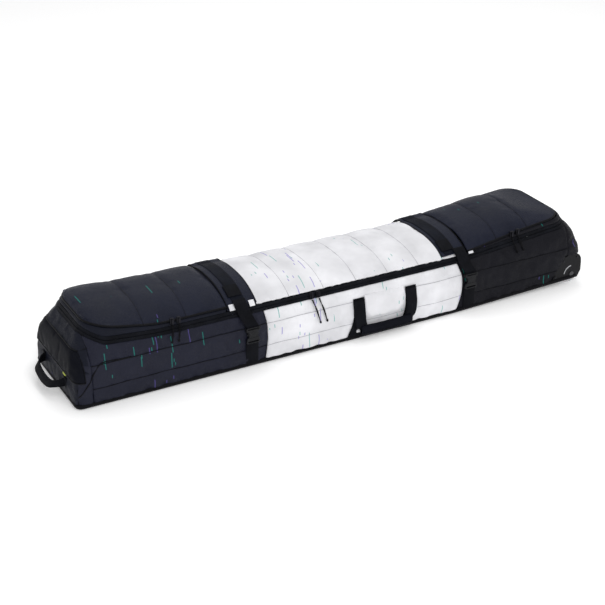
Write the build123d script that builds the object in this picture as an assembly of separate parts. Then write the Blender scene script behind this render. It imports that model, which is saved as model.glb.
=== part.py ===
from build123d import *
from math import atan2, cos, degrees, radians, sin, tan
import os

# Wheeled snowboard bag, closed and lying on its base.  Millimetres.  X runs along the bag from the
# haul-handle end (-X) to the wheel end (+X), the long side with the carry handle faces -Y, and +Z is
# up.  The origin is on the floor under the middle of the bag.

# ---- driving dimensions ------------------------------------------------------------------------
LENGTH = 1750.0            # fabric body, end to end
WIDTH = 340.0
CENTRE_X = 18.0            # the body's middle: the haul handle takes up the rest at the -X end
CORNER_R = 30.0            # corners of the plan
WALL = 10.0                # padded wall: fabric, foam, lining
SHOULDER_Z = 130.0         # seam where the walls begin to lean in
LEAN_Y = 0.30              # lean of the long sides above the seam, mm per mm of height
LEAN_X = 0.59              # lean of the ends
TOP_Z = 260.0              # upper limit of the leaning shell that the zips and gussets are cut from
NEAR_BORDER = -271.0       # where the charcoal fabric meets the white
FAR_BORDER = 400.0
GAP = 0.3                  # clearance between neighbouring pieces

BASE_T = 3.0               # tarpaulin bottom
BOARD_T = 3.0              # plastic stiffening board
PAD_T = 8.0                # floor padding
INSET = WALL + 2.0         # board and pad lie this far inside the outline

ZIP_TAPE = 20.0            # closed main zip, both tapes
ZIP_GAP = 0.6              # between its two halves
ZIP_PROUD = 1.0            # the tape lies on top of the wall's edge
COIL_PROUD = 2.2

NEAR_POCKET = (-797.0, -383.0)     # flap, from its outer end to its inner end
FAR_POCKET = (449.0, 822.0)
FLAP_T = 9.0
GUSSET_T = 8.0
PLATE_T = 6.0
FLOOR_T = 4.0

AXLE_X = 855.0
WHEEL_R = 36.0
WHEEL_W = 26.0
WHEEL_Y = 147.0            # middle plane of each wheel
RIM_R = 26.0
BEARING_R = 11.0           # 608 bearing: 22 x 8 x 7
BEARING_W = 7.0
AXLE_R = 4.0
RUNNING = 0.03             # radial clearance of the bearing on the axle
HOUSING_Y = (124.0, 170.0)

STRAP_W = 40.0
BUCKLE_X = {"near": -315.0, "far": 447.0}
STRAP_TOP_X = {"near": -339.0, "far": 420.0}

HANDLE_LEGS = (45.5, 229.0)        # middle of each webbing leg
LEG_W = 38.0
CORD_D = 3.6               # doubled cord of a zip pull

FRONT = -1
BACK = 1


# ---- lines along the bag -----------------------------------------------------------------------
def along(x, knots):
    """Height at x on a line through (x, z) knots, level beyond its ends."""
    if x <= knots[0][0]:
        return knots[0][1]
    for (xa, za), (xb, zb) in zip(knots, knots[1:]):
        if x <= xb:
            return za + (zb - za) * (x - xa) / (xb - xa)
    return knots[-1][1]


END_NEAR = CENTRE_X - LENGTH / 2
END_FAR = CENTRE_X + LENGTH / 2
BASE_LINE = [(END_NEAR, 0), (FAR_BORDER, 0), (END_FAR, 16)]
ZIP_LINE = [(END_NEAR, 190), (-600, 168), (FAR_BORDER, 168), (END_FAR, 206)]
HINGE_LINE = [(END_NEAR, 188), (END_FAR, 188)]       # level top of the back wall, where the lid is hinged
NEAR_EDGE = [(NEAR_POCKET[0], 228), (-600, 201), (NEAR_POCKET[1], 201)]
FAR_EDGE = [(FAR_POCKET[0], 196), (FAR_POCKET[1], 246)]
NEAR_CROWN = [(NEAR_POCKET[0], 243), (-600, 247), (NEAR_POCKET[1], 249)]
FAR_CROWN = [(449, 240), (531, 252), (682, 287), (780, 281), (FAR_POCKET[1], 271)]
LID_EDGE = [(-381, 191), (400, 191), (445, 194)]
LID_CROWN = [(-381, 248), (-287, 246), (-200, 234), (0, 228), (300, 223), (400, 229), (445, 236)]


def half_width(z):
    """Half the outer width of the body at height z."""
    return WIDTH / 2 - LEAN_Y * max(0.0, z - SHOULDER_Z)


# ---- building blocks ---------------------------------------------------------------------------
def block(x, y, z):
    """Box from (low, high) pairs."""
    centre = ((x[0] + x[1]) / 2, (y[0] + y[1]) / 2, (z[0] + z[1]) / 2)
    return Pos(*centre) * Box(x[1] - x[0], y[1] - y[0], z[1] - z[0])


def side_prism(points, y):
    """Outline in the XZ plane, drawn out from y[0] to y[1]."""
    face = Face(Wire.make_polygon([(x, y[0], z) for x, z in points]))
    return extrude(face, amount=y[1] - y[0], dir=(0, 1, 0))


def end_prism(points, x):
    """Outline in the YZ plane, drawn out from x[0] to x[1]."""
    face = Face(Wire.make_polygon([(x[0], y, z) for y, z in points]))
    return extrude(face, amount=x[1] - x[0], dir=(1, 0, 0))


def line_points(knots, span, add):
    """Points of a line along the bag between the ends of a span, raised by add."""
    inside = [x for x, z in knots if span[0] < x < span[1]]
    return [(x, along(x, knots) + add) for x in [span[0]] + inside + [span[1]]]


def band_between(low, high, low_add=0.0, high_add=0.0, span=(END_NEAR - 60, END_FAR + 60)):
    """Everything between two lines along the bag, as one prism across its width."""
    outline = line_points(low, span, low_add) + line_points(high, span, high_add)[::-1]
    return side_prism(outline, (-WIDTH, WIDTH))


def plan(z, inset_x=0.0, inset_y=0.0):
    """Rounded outline of the body at height z, drawn in by an inset."""
    return Pos(CENTRE_X, 0, z) * RectangleRounded(
        LENGTH - 2 * inset_x, WIDTH - 2 * inset_y, CORNER_R
    )


def solid_body(offset):
    """The body's outer form, grown by an offset: upright to the shoulder, then leaning in."""
    lower = extrude(plan(-20, -offset, -offset), amount=SHOULDER_Z + 20)
    rise = TOP_Z - SHOULDER_Z
    upper = loft([plan(SHOULDER_Z, -offset, -offset), plan(TOP_Z, LEAN_X * rise - offset, LEAN_Y * rise - offset)])
    return lower + upper


def shell(outer, inner):
    """Skin of the body between two offsets from its outer form."""
    return solid_body(outer) - solid_body(inner)


def arch_section(x, edge, crown, half, thickness, lift=0.0):
    """Closed arch band across the bag: outer arc, two feet, inner arc."""
    z_edge = along(x, edge) + lift
    z_crown = along(x, crown) + lift
    outer = Edge.make_three_point_arc((x, -half, z_edge), (x, 0, z_crown), (x, half, z_edge))
    inner_half = half - thickness
    inner = Edge.make_three_point_arc(
        (x, -inner_half, z_edge), (x, 0, z_crown - thickness), (x, inner_half, z_edge)
    )
    left = Edge.make_line((x, -half, z_edge), (x, -inner_half, z_edge))
    right = Edge.make_line((x, half, z_edge), (x, inner_half, z_edge))
    return Wire([outer, right, inner, left])


def arch(stations, edge, crown, half, thickness, lift=0.0):
    """Arched panel through the stations; half gives its half width at each x."""
    panel = None
    for xa, xb in zip(stations, stations[1:]):
        sections = [arch_section(x, edge, crown, half(x), thickness, lift) for x in (xa, xb)]
        piece = Solid.make_loft(sections, True)
        panel = piece if panel is None else panel + piece
    return panel


def arch_plate(x, thickness, edge, crown, half):
    """End plate that closes an arch, of the arch's outer outline."""
    z_edge = along(x, edge)
    arc = Edge.make_three_point_arc((x, -half, z_edge), (x, 0, along(x, crown)), (x, half, z_edge))
    chord = Edge.make_line((x, half, z_edge), (x, -half, z_edge))
    return extrude(Face(Wire([arc, chord])), amount=thickness, dir=(1, 0, 0))


def rod(radius, centre, y):
    """Round bar along Y from y[0] to y[1], about centre (x, z)."""
    length = y[1] - y[0]
    middle = (centre[0], (y[0] + y[1]) / 2, centre[1])
    return Pos(*middle) * Rot(90, 0, 0) * Cylinder(radius, length)


def cord(points, diameter, name):
    """Round cord along straight runs joined by tangent arcs."""
    path_points = [Vector(*p) for p in points]
    radii = []
    for before, here, after in zip(path_points, path_points[1:], path_points[2:]):
        turn = radians((here - before).get_angle(after - here))
        shorter = min((here - before).length, (after - here).length)
        radii.append(0.45 * shorter / tan(turn / 2))
    print(name, "radii", [round(r) for r in radii])
    path = FilletPolyline(*path_points, radius=radii)
    start = Plane(origin=path @ 0, z_dir=path % 0)
    return sweep(start * Circle(diameter / 2), path=path)


def side_pair(make):
    """The same piece on the front and on the back, as two separate solids."""
    return Compound(children=[make(FRONT), make(BACK)])


parts = {}


# ---- tub: base and walls -----------------------------------------------------------------------
def wheel_bays(grow=0.0):
    """Room for the wheel housings in the two bottom corners of the far end."""
    bay = None
    for side in (FRONT, BACK):
        y = sorted((side * (HOUSING_Y[0] - 4 - grow), side * 200))
        box = block((770 - grow, END_FAR + 10), y, (-30, 116 + grow))
        bay = box if bay is None else bay + box
    return bay


BAYS = wheel_bays()
OUTLINE = extrude(plan(-20), amount=TOP_Z)
INNER_OUTLINE = extrude(plan(-20, INSET, INSET), amount=TOP_Z)


def floor_layer(outline, low, thickness):
    """A sheet that follows the bottom of the bag."""
    return outline & band_between(BASE_LINE, BASE_LINE, low, low + thickness)


parts["base_panel"] = floor_layer(OUTLINE, 0, BASE_T) - BAYS
parts["base_board"] = floor_layer(INNER_OUTLINE, BASE_T + GAP, BOARD_T) - BAYS
parts["floor_pad"] = floor_layer(INNER_OUTLINE, BASE_T + BOARD_T + 2 * GAP, PAD_T) - BAYS

WALL_SHELL = shell(0, -WALL) & band_between(BASE_LINE, ZIP_LINE, BASE_T + GAP, 0)
END_CUTS = (-808.0, 834.0)     # the end walls wrap the corners up to here
wall_spans = {
    "front_wall_near": (END_CUTS[0], NEAR_BORDER, FRONT),
    "front_wall_middle": (NEAR_BORDER, FAR_BORDER, FRONT),
    "front_wall_far": (FAR_BORDER, END_CUTS[1], FRONT),
    "back_wall": (END_CUTS[0], END_CUTS[1], BACK),
}
BACK_SHELL = shell(0, -WALL) & band_between(BASE_LINE, HINGE_LINE, BASE_T + GAP, -GAP)
for name, (x_low, x_high, side) in wall_spans.items():
    # the back wall carries the lid's hinge, so its top edge is level
    skin, y = (WALL_SHELL, (-200, 0)) if side == FRONT else (BACK_SHELL, (0, 200))
    parts[name] = (skin & block((x_low, x_high), y, (-30, 300))) - BAYS
parts["near_end_wall"] = WALL_SHELL & block((END_NEAR - 50, END_CUTS[0]), (-200, 200), (-30, 300))
far_end = WALL_SHELL & block((END_CUTS[1], END_FAR + 50), (-200, 200), (-30, 300))
parts["far_end_wall"] = far_end - BAYS

# padded band across the near end, and the small fabric tab beside the haul handle
band_shell = shell(5, GAP) & block((END_NEAR - 20, END_NEAR + 20), (-132, 132), (96, 128))
parts["near_end_pad"] = band_shell
parts["end_tab"] = block((END_NEAR - 2, END_NEAR - GAP), (-92, -72), (74, 82))

# ---- main zip ----------------------------------------------------------------------------------
TAPE_SHELL = shell(ZIP_PROUD, ZIP_PROUD - 2)
COIL_SHELL = shell(COIL_PROUD, ZIP_PROUD - 1)
zip_reach = block((END_NEAR - 20, END_FAR + 20), (-200, 0), (100, 300))
zip_reach = zip_reach + block((END_NEAR - 20, END_CUTS[0] - GAP), (-1, 200), (100, 300))
zip_reach = zip_reach + block((END_CUTS[1] + GAP, END_FAR + 20), (-1, 200), (100, 300))
half_tape = (ZIP_TAPE - ZIP_GAP) / 2
lower_tape = TAPE_SHELL & band_between(ZIP_LINE, ZIP_LINE, GAP, half_tape)
lower_coil = COIL_SHELL & band_between(ZIP_LINE, ZIP_LINE, half_tape - 3, half_tape)
parts["main_zip_lower"] = (lower_tape + lower_coil) & zip_reach
upper_start = half_tape + ZIP_GAP
upper_tape = TAPE_SHELL & band_between(ZIP_LINE, ZIP_LINE, upper_start, ZIP_TAPE)
upper_coil = COIL_SHELL & band_between(ZIP_LINE, ZIP_LINE, upper_start, upper_start + 3)
parts["main_zip_upper"] = (upper_tape + upper_coil) & zip_reach

# ---- lid ---------------------------------------------------------------------------------------
GUSSET_LOW = ZIP_TAPE + GAP


def lid_half(x):
    """Half width of the lid's arched middle panel."""
    return half_width(along(x, LID_EDGE))


LID_STATIONS = [x for x, z in LID_CROWN]
parts["lid_middle_panel"] = arch(LID_STATIONS, LID_EDGE, LID_CROWN, lid_half, 10)


def pocket_floor(span):
    """Floor of a lid pocket, inside the main zip, clear of the back wall, level with the zip's top."""
    front_half = block((END_NEAR, END_FAR), (-200, 0), (0, 300))
    outline = (solid_body(-3) & front_half) + (solid_body(-WALL - 2 * GAP) - front_half)
    return outline & band_between(ZIP_LINE, ZIP_LINE, ZIP_TAPE - FLOOR_T, ZIP_TAPE, span)


parts["near_pocket_floor"] = pocket_floor((END_NEAR, NEAR_POCKET[1] - 1))
parts["far_pocket_floor"] = pocket_floor((FAR_POCKET[0] + 1, END_FAR))


def pocket_gusset(span, edge, inner_x):
    """Side walls of a lid pocket, from the main zip up to the flap's zip, and its inner end."""
    skin = shell(0, -GUSSET_T)
    back = block(END_CUTS, (0, 200), (0, 300))
    side_walls = (skin & band_between(ZIP_LINE, edge, GUSSET_LOW, -GAP * 3, span)) - back
    side_walls = side_walls + (skin & band_between(HINGE_LINE, edge, GAP, -GAP * 3, span) & back)
    half = half_width(along(inner_x, edge)) - GUSSET_T + 1
    top = along(inner_x, edge) - 3 * GAP
    bottom = max(along(x, ZIP_LINE) for x in (inner_x, inner_x + PLATE_T)) + GUSSET_LOW
    inner_end = block((inner_x, inner_x + PLATE_T), (-half, half), (bottom, top))
    return side_walls + inner_end


near_inner = NEAR_POCKET[1] - PLATE_T - 1
parts["near_pocket_gusset"] = pocket_gusset((END_NEAR, NEAR_POCKET[1] - 1), NEAR_EDGE, near_inner)
far_inner = FAR_POCKET[0] + 1
parts["far_pocket_gusset"] = pocket_gusset((FAR_POCKET[0] + 1, END_FAR), FAR_EDGE, far_inner)


def pocket_flap(span, stations, edge, crown):
    """Arched pocket flap with closed ends and rounded plan corners."""
    def half(x):
        return half_width(along(x, edge))

    body = arch(stations, edge, crown, half, FLAP_T)
    for x in (span[0], span[1] - PLATE_T):
        body = body + arch_plate(x, PLATE_T, edge, crown, half(x))
    return body


near_stations = [NEAR_POCKET[0], -600, NEAR_POCKET[1]]
parts["near_pocket_flap"] = pocket_flap(NEAR_POCKET, near_stations, NEAR_EDGE, NEAR_CROWN)
far_stations = [x for x, z in FAR_CROWN]
parts["far_pocket_flap"] = pocket_flap(FAR_POCKET, far_stations, FAR_EDGE, FAR_CROWN)

# fabric saddle over each end of the middle panel, with the webbing keeper sewn on it
SADDLES = {"near": (-379.0, -287.0), "far": (356.0, 443.0)}
KEEPERS = {"near": ((-362, -324), (-128, -80)), "far": ((366, 404), (-138, -90))}


def over_lid(span, lift, thickness):
    """Arched strip that lies on the middle panel."""
    stations = [span[0]] + [x for x in LID_STATIONS if span[0] < x < span[1]] + [span[1]]
    return arch(stations, LID_EDGE, LID_CROWN, lid_half, thickness, lift)


for end, span in SADDLES.items():
    strip = over_lid(span, 5.0, 3.0)
    parts[end + "_saddle"] = strip & block(span, (-150, 150), (197, 300))
keepers = []
for end, (x_span, y_span) in KEEPERS.items():
    loop = over_lid(SADDLES[end], 9.0, 3.0) & block(x_span, y_span, (197, 300))
    keepers.append(loop.solids()[0])
parts["saddle_keepers"] = Compound(children=keepers)
TABS = [(-382.0, -362.0), (-308.0, -288.0), (449.0, 468.0)]
tab_y = (-157.0, -155.4)
parts["white_strap_tabs"] = Compound(children=[block(x, tab_y, (191, 208)) for x in TABS])


# ---- compression straps and side-release buckles -----------------------------------------------
def leaning_strip(points, x_top, x_low):
    """Webbing whose YZ outline is swept sideways from x_low at its foot to x_top at its head."""
    low_z = min(z for y, z in points)
    high_z = max(z for y, z in points)

    def shifted(edge):
        def place(y, z):
            t = (z - low_z) / (high_z - low_z)
            return (x_low + (x_top - x_low) * t + edge, y, z)
        return Wire.make_polygon([place(y, z) for y, z in points])

    return Solid.make_loft([shifted(-STRAP_W / 2), shifted(STRAP_W / 2)], True)


BUCKLE_W = 46.0
SOCKET_Z = (104.0, 136.0)
SOCKET_Y = (-186.0, -174.0)
lower_straps = []
for end in ("near", "far"):
    mid = BUCKLE_X[end]
    outline = [(-152, 203), (-166, 186), (-178.5, 142), (-178.5, 137), (-176.5, 137), (-176.5, 141.5)]
    outline += [(-164, 185), (-151, 201)]
    parts[end + "_strap_upper"] = leaning_strip(outline, STRAP_TOP_X[end], mid)
    body = block((mid - BUCKLE_W / 2, mid + BUCKLE_W / 2), SOCKET_Y, (SOCKET_Z[0], SOCKET_Z[1] - 6))
    bar = block((mid - BUCKLE_W / 2, mid + BUCKLE_W / 2), (-186, -174), (130, 136))
    cavity = block((mid - 19, mid + 19), (-184.2, -175.8), (100, 125))
    parts[end + "_buckle_socket"] = body + bar - cavity
    plate = block((mid - 22, mid + 22), (-185, -178), (84, 103.4))
    slot = block((mid - 16, mid + 16), (-190, -170), (88, 92))
    tongue = plate - slot
    for side in (-1, 1):
        arm = sorted((mid + side * 11, mid + side * 17))
        tongue = tongue + block(arm, (-183.8, -180.2), (103, 119))
    parts[end + "_buckle_tongue"] = tongue
    lower_end = along(mid, BASE_LINE) + 6
    lower_straps.append(block((mid - STRAP_W / 2, mid + STRAP_W / 2), (-173, -171), (lower_end, 98)))
parts["lower_straps"] = Compound(children=lower_straps)


# ---- carry handle on the front -----------------------------------------------------------------
bands = [block((x - LEG_W / 2, x + LEG_W / 2), (-172.4, -170.3), (6, 138)) for x in HANDLE_LEGS]
parts["handle_bands"] = Compound(children=bands)
pad_x = (HANDLE_LEGS[0] + LEG_W / 2 + 3, HANDLE_LEGS[1] - LEG_W / 2 - 3)
pad = block(pad_x, (-177.5, -170.3), (64, 142))
pad_corners = pad.edges().filter_by(Axis.Y).sort_by(Axis.Z)[:2]
parts["handle_pad"] = fillet(pad_corners, 24)
loop_x = (HANDLE_LEGS[0] - LEG_W / 2, HANDLE_LEGS[1] + LEG_W / 2)
loop = block(loop_x, (-176, -173.6), (36, 132))
hand_gap = block((loop_x[0] + LEG_W, loop_x[1] - LEG_W), (-180, -170), (54, 140))
parts["carry_handle_strap"] = loop - hand_gap
grip = block((46, 229), (-197, -172.8), (29, 61))
grip = fillet(grip.edges().filter_by(Axis.X), 8)
strap_room = block((loop_x[0] - 1, loop_x[1] + 1), (-176.2, -173.4), (35.8, 140))
strap_room = strap_room - block((loop_x[0] + LEG_W + 0.2, loop_x[1] - LEG_W - 0.2), (-180, -170), (54.2, 140))
parts["carry_handle_grip"] = grip - strap_room

# ---- haul handle at the near end ---------------------------------------------------------------
HAUL_Z = (38.0, 70.0)
HAUL_OUT = 52.0            # how far the loop stands off the end wall
HAUL_HALF = 75.0
HAUL_T = 5.0
haul_root = END_NEAR - 6   # room for the loop to swing
haul_face = END_NEAR - HAUL_OUT
outer_arc = Edge.make_three_point_arc((haul_root, -HAUL_HALF, HAUL_Z[0]), (haul_face, 0, HAUL_Z[0]),
                                      (haul_root, HAUL_HALF, HAUL_Z[0]))
inner_arc = Edge.make_three_point_arc((haul_root, -HAUL_HALF + HAUL_T, HAUL_Z[0]),
                                      (haul_face + HAUL_T, 0, HAUL_Z[0]),
                                      (haul_root, HAUL_HALF - HAUL_T, HAUL_Z[0]))
foot_a = Edge.make_line((haul_root, -HAUL_HALF, HAUL_Z[0]), (haul_root, -HAUL_HALF + HAUL_T, HAUL_Z[0]))
foot_b = Edge.make_line((haul_root, HAUL_HALF, HAUL_Z[0]), (haul_root, HAUL_HALF - HAUL_T, HAUL_Z[0]))
haul_outline = Face(Wire([outer_arc, foot_b, inner_arc, foot_a]))
parts["haul_handle"] = extrude(haul_outline, amount=HAUL_Z[1] - HAUL_Z[0], dir=(0, 0, 1))


def haul_anchor(side):
    """Sewn foot of the loop on the end wall."""
    y = sorted((side * (HAUL_HALF + 1), side * (HAUL_HALF + 24)))
    return block((END_NEAR - 5, END_NEAR - GAP), y, HAUL_Z)


parts["haul_handle_anchors"] = side_pair(haul_anchor)

# ---- wheels ------------------------------------------------------------------------------------
axle_point = (AXLE_X, WHEEL_R)
CHEEK_PROFILE = [(774, 19), (782, 31), (806, 90), (816, 98), (850, 106), (870, 105), (883, 98), (890, 86),
                 (892, 70), (892, 42), (880, 19)]
well_y = (WHEEL_Y - WHEEL_W / 2 - 5.5, WHEEL_Y + WHEEL_W / 2 + 5.5)
SCREWS = [(792, 36), (820, 86), (874, 92)]


def mirrored_y(side, y):
    """(low, high) of a stretch given for the back, on either side."""
    return tuple(sorted((side * y[0], side * y[1])))


def wheel_housing(side):
    """Moulded corner guard with the wheel well, open below and at the end."""
    body = side_prism(CHEEK_PROFILE, mirrored_y(side, HOUSING_Y))
    well = mirrored_y(side, well_y)
    body = body - rod(WHEEL_R + 5, axle_point, well)
    body = body - block((AXLE_X - WHEEL_R - 5, 900), well, (-10, WHEEL_R))
    body = body - rod(AXLE_R + 0.05, axle_point, mirrored_y(side, (110, 180)))
    for hole in SCREWS:
        body = body - rod(1.55, hole, mirrored_y(side, (165.8, 175)))
    return body


def axle(side):
    """Axle with its outer head and inner clip."""
    shank = rod(AXLE_R, axle_point, mirrored_y(side, (121, 170.2)))
    head = rod(8, axle_point, mirrored_y(side, (170.1, 172)))
    clip = rod(7, axle_point, mirrored_y(side, (121, 123.8)))
    return shank + head + clip


def wheel_tyre(side):
    """Urethane tyre with rounded shoulders."""
    ring = rod(WHEEL_R, axle_point, mirrored_y(side, (WHEEL_Y - WHEEL_W / 2, WHEEL_Y + WHEEL_W / 2)))
    ring = fillet(ring.edges().filter_by(GeomType.CIRCLE), 5)
    return ring - rod(RIM_R, axle_point, mirrored_y(side, (100, 200)))


def wheel_hub(side):
    """Plastic hub with bearing seats and five lightening holes."""
    faces = (WHEEL_Y - WHEEL_W / 2 + 1, WHEEL_Y + WHEEL_W / 2 - 1)
    hub = rod(RIM_R - 0.02, axle_point, mirrored_y(side, faces))
    hub = hub - rod(6, axle_point, mirrored_y(side, (100, 200)))
    for depth in ((faces[0] - 1, faces[0] + BEARING_W), (faces[1] - BEARING_W, faces[1] + 1)):
        hub = hub - rod(BEARING_R + 0.02, axle_point, mirrored_y(side, depth))
    for k in range(5):
        angle = radians(90 + 72 * k)
        spot = (AXLE_X + 18.5 * cos(angle), WHEEL_R + 18.5 * sin(angle))
        hub = hub - rod(4.5, spot, mirrored_y(side, (100, 200)))
    return hub


def wheel_bearings(side):
    """The two bearings of a wheel."""
    faces = (WHEEL_Y - WHEEL_W / 2 + 1, WHEEL_Y + WHEEL_W / 2 - 1)
    rings = []
    for y in ((faces[0], faces[0] + BEARING_W - 0.2), (faces[1] - BEARING_W + 0.2, faces[1])):
        ring = rod(BEARING_R, axle_point, mirrored_y(side, y))
        rings.append(ring - rod(AXLE_R + RUNNING, axle_point, mirrored_y(side, (100, 200))))
    return Compound(children=rings)


def housing_arc(side):
    """Pale arc stripe on the outer cheek, about the axle."""
    y = mirrored_y(side, (170.05, 170.9))
    ring = rod(31.5, axle_point, y) - rod(28.5, axle_point, y)
    sector = side_prism([axle_point, (800, 44), (800, 90), (848, 90)], mirrored_y(side, (160, 180)))
    return ring & sector


def housing_screw(side, spot):
    """Pan-head screw that holds the corner guard."""
    head = rod(3.4, spot, mirrored_y(side, (170.05, 171.6)))
    return head + rod(1.5, spot, mirrored_y(side, (166, 170.1)))


for name, side in (("front", FRONT), ("back", BACK)):
    parts[name + "_wheel_housing"] = wheel_housing(side)
    parts[name + "_wheel_tyre"] = wheel_tyre(side)
    parts[name + "_wheel_hub"] = wheel_hub(side)
    parts[name + "_wheel_bearings"] = wheel_bearings(side)
parts["wheel_axles"] = side_pair(axle)
parts["housing_stripes"] = side_pair(housing_arc)
screws = [housing_screw(side, spot) for side in (FRONT, BACK) for spot in SCREWS]
parts["housing_screws"] = Compound(children=screws)


# ---- zip sliders and their cord pulls ----------------------------------------------------------
LEAN_ANGLE = degrees(atan2(LEAN_Y, 1.0))


def slider(x, z, stand_off, lean):
    """Slider on the front face at height z, its inner face stand_off outside that face."""
    body = block((-6.5, 6.5), (-stand_off - 4.2, -stand_off), (-10, 10))
    body = chamfer(body.edges().filter_by(Axis.Y), 2)
    bail = block((-2, 2), (-stand_off - 7.2, -stand_off - 4.1), (-8, 6))
    hole = block((-3, 3), (-stand_off - 5.8, -stand_off - 4.2), (-5.5, 3.5))
    place = Pos(x, -half_width(z), z) * Rot(-lean, 0, 0)
    return place * (body + bail - hole)


MAIN_ZIP_Z = along(0, ZIP_LINE) + ZIP_TAPE / 2
MAIN_ROUTE = [(0, -11.5, -9), (1.5, -18.5, -20), (6, -24.5, -34), (14, -25.0, -60), (20.5, -25.0, -82)]
NEAR_ROUTE = [(0, -11.9, -9), (-1.5, -16.9, -21), (-4, -20.9, -34), (-6, -22.7, -46), (-8.5, -23.6, -56)]
FAR_ROUTE = [(0, -10.9, -9), (2, -14.9, -21), (6, -18.9, -34), (11, -21.9, -47), (15, -23.8, -58)]
POCKET_STAND_OFF = 3.4     # the pocket sliders are upright, clear of the flap's edge as it lifts
PULLS = {
    "main_zip": ((-110, -87), MAIN_ZIP_Z, COIL_PROUD + 0.4, LEAN_ANGLE, MAIN_ROUTE),
    "near_pocket": ((-556, -535), along(-545, NEAR_EDGE) + 1, POCKET_STAND_OFF, 0, NEAR_ROUTE),
    "far_pocket": ((617, 640), None, POCKET_STAND_OFF, 0, FAR_ROUTE),
}
for zip_name, (places, height, stand_off, lean, route) in PULLS.items():
    for letter, x in zip("ab", places):
        z = along(x, FAR_EDGE) + 1 if height is None else height
        parts[zip_name + "_slider_" + letter] = slider(x, z, stand_off, lean)
        top = (x, -half_width(z), z)
        points = [(top[0] + dx, top[1] + dy, top[2] + dz) for dx, dy, dz in route]
        name = zip_name + "_cord_" + letter
        parts[name] = cord(points, CORD_D, name)


# ---- write -------------------------------------------------------------------------------------
os.makedirs("parts", exist_ok=True)
for name, piece in parts.items():
    solids = piece.solids()
    shape = solids[0] if len(solids) == 1 else Compound(children=list(solids))
    export_step(shape, f"parts/{name}.step")
print(len(parts), "nodes")
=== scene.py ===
from math import asin, cos, pi, sin, sqrt

import bmesh
import bpy
from mathutils import Euler, Matrix, Vector, noise


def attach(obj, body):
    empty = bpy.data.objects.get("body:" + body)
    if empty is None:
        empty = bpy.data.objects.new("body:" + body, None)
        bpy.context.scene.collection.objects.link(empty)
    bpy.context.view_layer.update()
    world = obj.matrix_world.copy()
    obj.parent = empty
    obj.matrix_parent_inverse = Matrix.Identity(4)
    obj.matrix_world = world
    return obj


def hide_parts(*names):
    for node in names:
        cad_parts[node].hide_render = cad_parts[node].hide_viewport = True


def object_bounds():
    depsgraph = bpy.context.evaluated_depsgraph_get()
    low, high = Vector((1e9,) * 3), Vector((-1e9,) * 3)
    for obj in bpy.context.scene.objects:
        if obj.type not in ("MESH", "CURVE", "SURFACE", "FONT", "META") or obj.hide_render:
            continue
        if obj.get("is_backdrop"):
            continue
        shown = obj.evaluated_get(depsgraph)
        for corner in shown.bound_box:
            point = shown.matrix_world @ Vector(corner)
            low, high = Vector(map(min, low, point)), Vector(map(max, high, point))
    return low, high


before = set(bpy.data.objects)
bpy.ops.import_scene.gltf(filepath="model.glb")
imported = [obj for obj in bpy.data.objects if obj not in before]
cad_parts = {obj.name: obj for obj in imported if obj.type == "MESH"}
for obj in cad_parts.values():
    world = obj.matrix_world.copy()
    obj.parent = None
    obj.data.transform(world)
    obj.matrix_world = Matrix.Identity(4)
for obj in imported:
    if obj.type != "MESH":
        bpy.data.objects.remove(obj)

CAD_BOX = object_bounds()
MM = 0.001

# ---- the bag's lines, as in the CAD ------------------------------------------------------------
HALF_WIDTH, SHOULDER_Z, LEAN_Y = 170.0, 130.0, 0.30
END_NEAR, END_FAR = -857.0, 893.0
NEAR_BORDER, FAR_BORDER = -271.0, 400.0
END_CUTS = (-808.0, 834.0)
BASE_LINE = [(END_NEAR, 0), (400, 0), (END_FAR, 16)]
ZIP_LINE = [(-830, 204), (-806, 199), (-760, 180), (-600, 168), (400, 168), (END_FAR, 206)]
HINGE_Z = 188.0
NEAR_EDGE = [(-797, 233), (-600, 201), (-383, 201)]
FAR_EDGE = [(449, 196), (640, 221.6), (822, 239)]
NEAR_CROWN = [(-797, 247), (-600, 246), (-383, 239)]
FAR_CROWN = [(449, 240), (531, 248), (600, 258), (662, 261), (710, 252), (760, 242), (822, 234)]
LID_EDGE = [(-381, 191), (400, 191), (445, 194)]
LID_CROWN = [(-381, 237), (-287, 235), (-200, 230), (0, 228), (300, 223), (400, 229), (445, 236)]
ZIP_TAPE = 20.0
FRONT, BACK = -1, 1
BUCKLE_X = {"near": -315.0, "far": 447.0}
STRAP_TOP_X = {"near": -339.0, "far": 420.0}
HANDLE_LEGS = (45.5, 229.0)

CAMERA_PLACE = (-1.9360, -3.5018, 2.0954)
CAMERA_YAW, CAMERA_PITCH = 28.256, 26.980
CAMERA_LENS = 85.75


def add_object(name, data):
    """New object in the scene."""
    made = bpy.data.objects.new(name, data)
    bpy.context.scene.collection.objects.link(made)
    return made


def camera():
    """The photo's view."""
    data = bpy.data.cameras.new("camera")
    data.lens, data.sensor_width = CAMERA_LENS, 36.0
    data.clip_end = 60.0
    seen = add_object("camera", data)
    seen.location = CAMERA_PLACE
    seen.rotation_euler = Euler(((90 - CAMERA_PITCH) * pi / 180, 0, -CAMERA_YAW * pi / 180))
    bpy.context.scene.camera = seen


camera()


# ---- small helpers -----------------------------------------------------------------------------
def along(x, knots):
    """Height at x of a line with straight stretches between its knots."""
    if x <= knots[0][0]:
        return knots[0][1]
    for (xa, za), (xb, zb) in zip(knots, knots[1:]):
        if x <= xb:
            return za + (zb - za) * (x - xa) / (xb - xa)
    return knots[-1][1]


def eased(x, knots, reach=36.0):
    """The same line with its kinks rounded."""
    steps = 9
    return sum(along(x + reach * (2 * k / (steps - 1) - 1), knots) for k in range(steps)) / steps


def smooth(t):
    """Ease from 0 to 1."""
    t = min(1.0, max(0.0, t))
    return t * t * (3 - 2 * t)


def spread(low, high, count):
    """Evenly spaced numbers, both ends included."""
    return [low + (high - low) * k / count for k in range(count + 1)]


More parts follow.
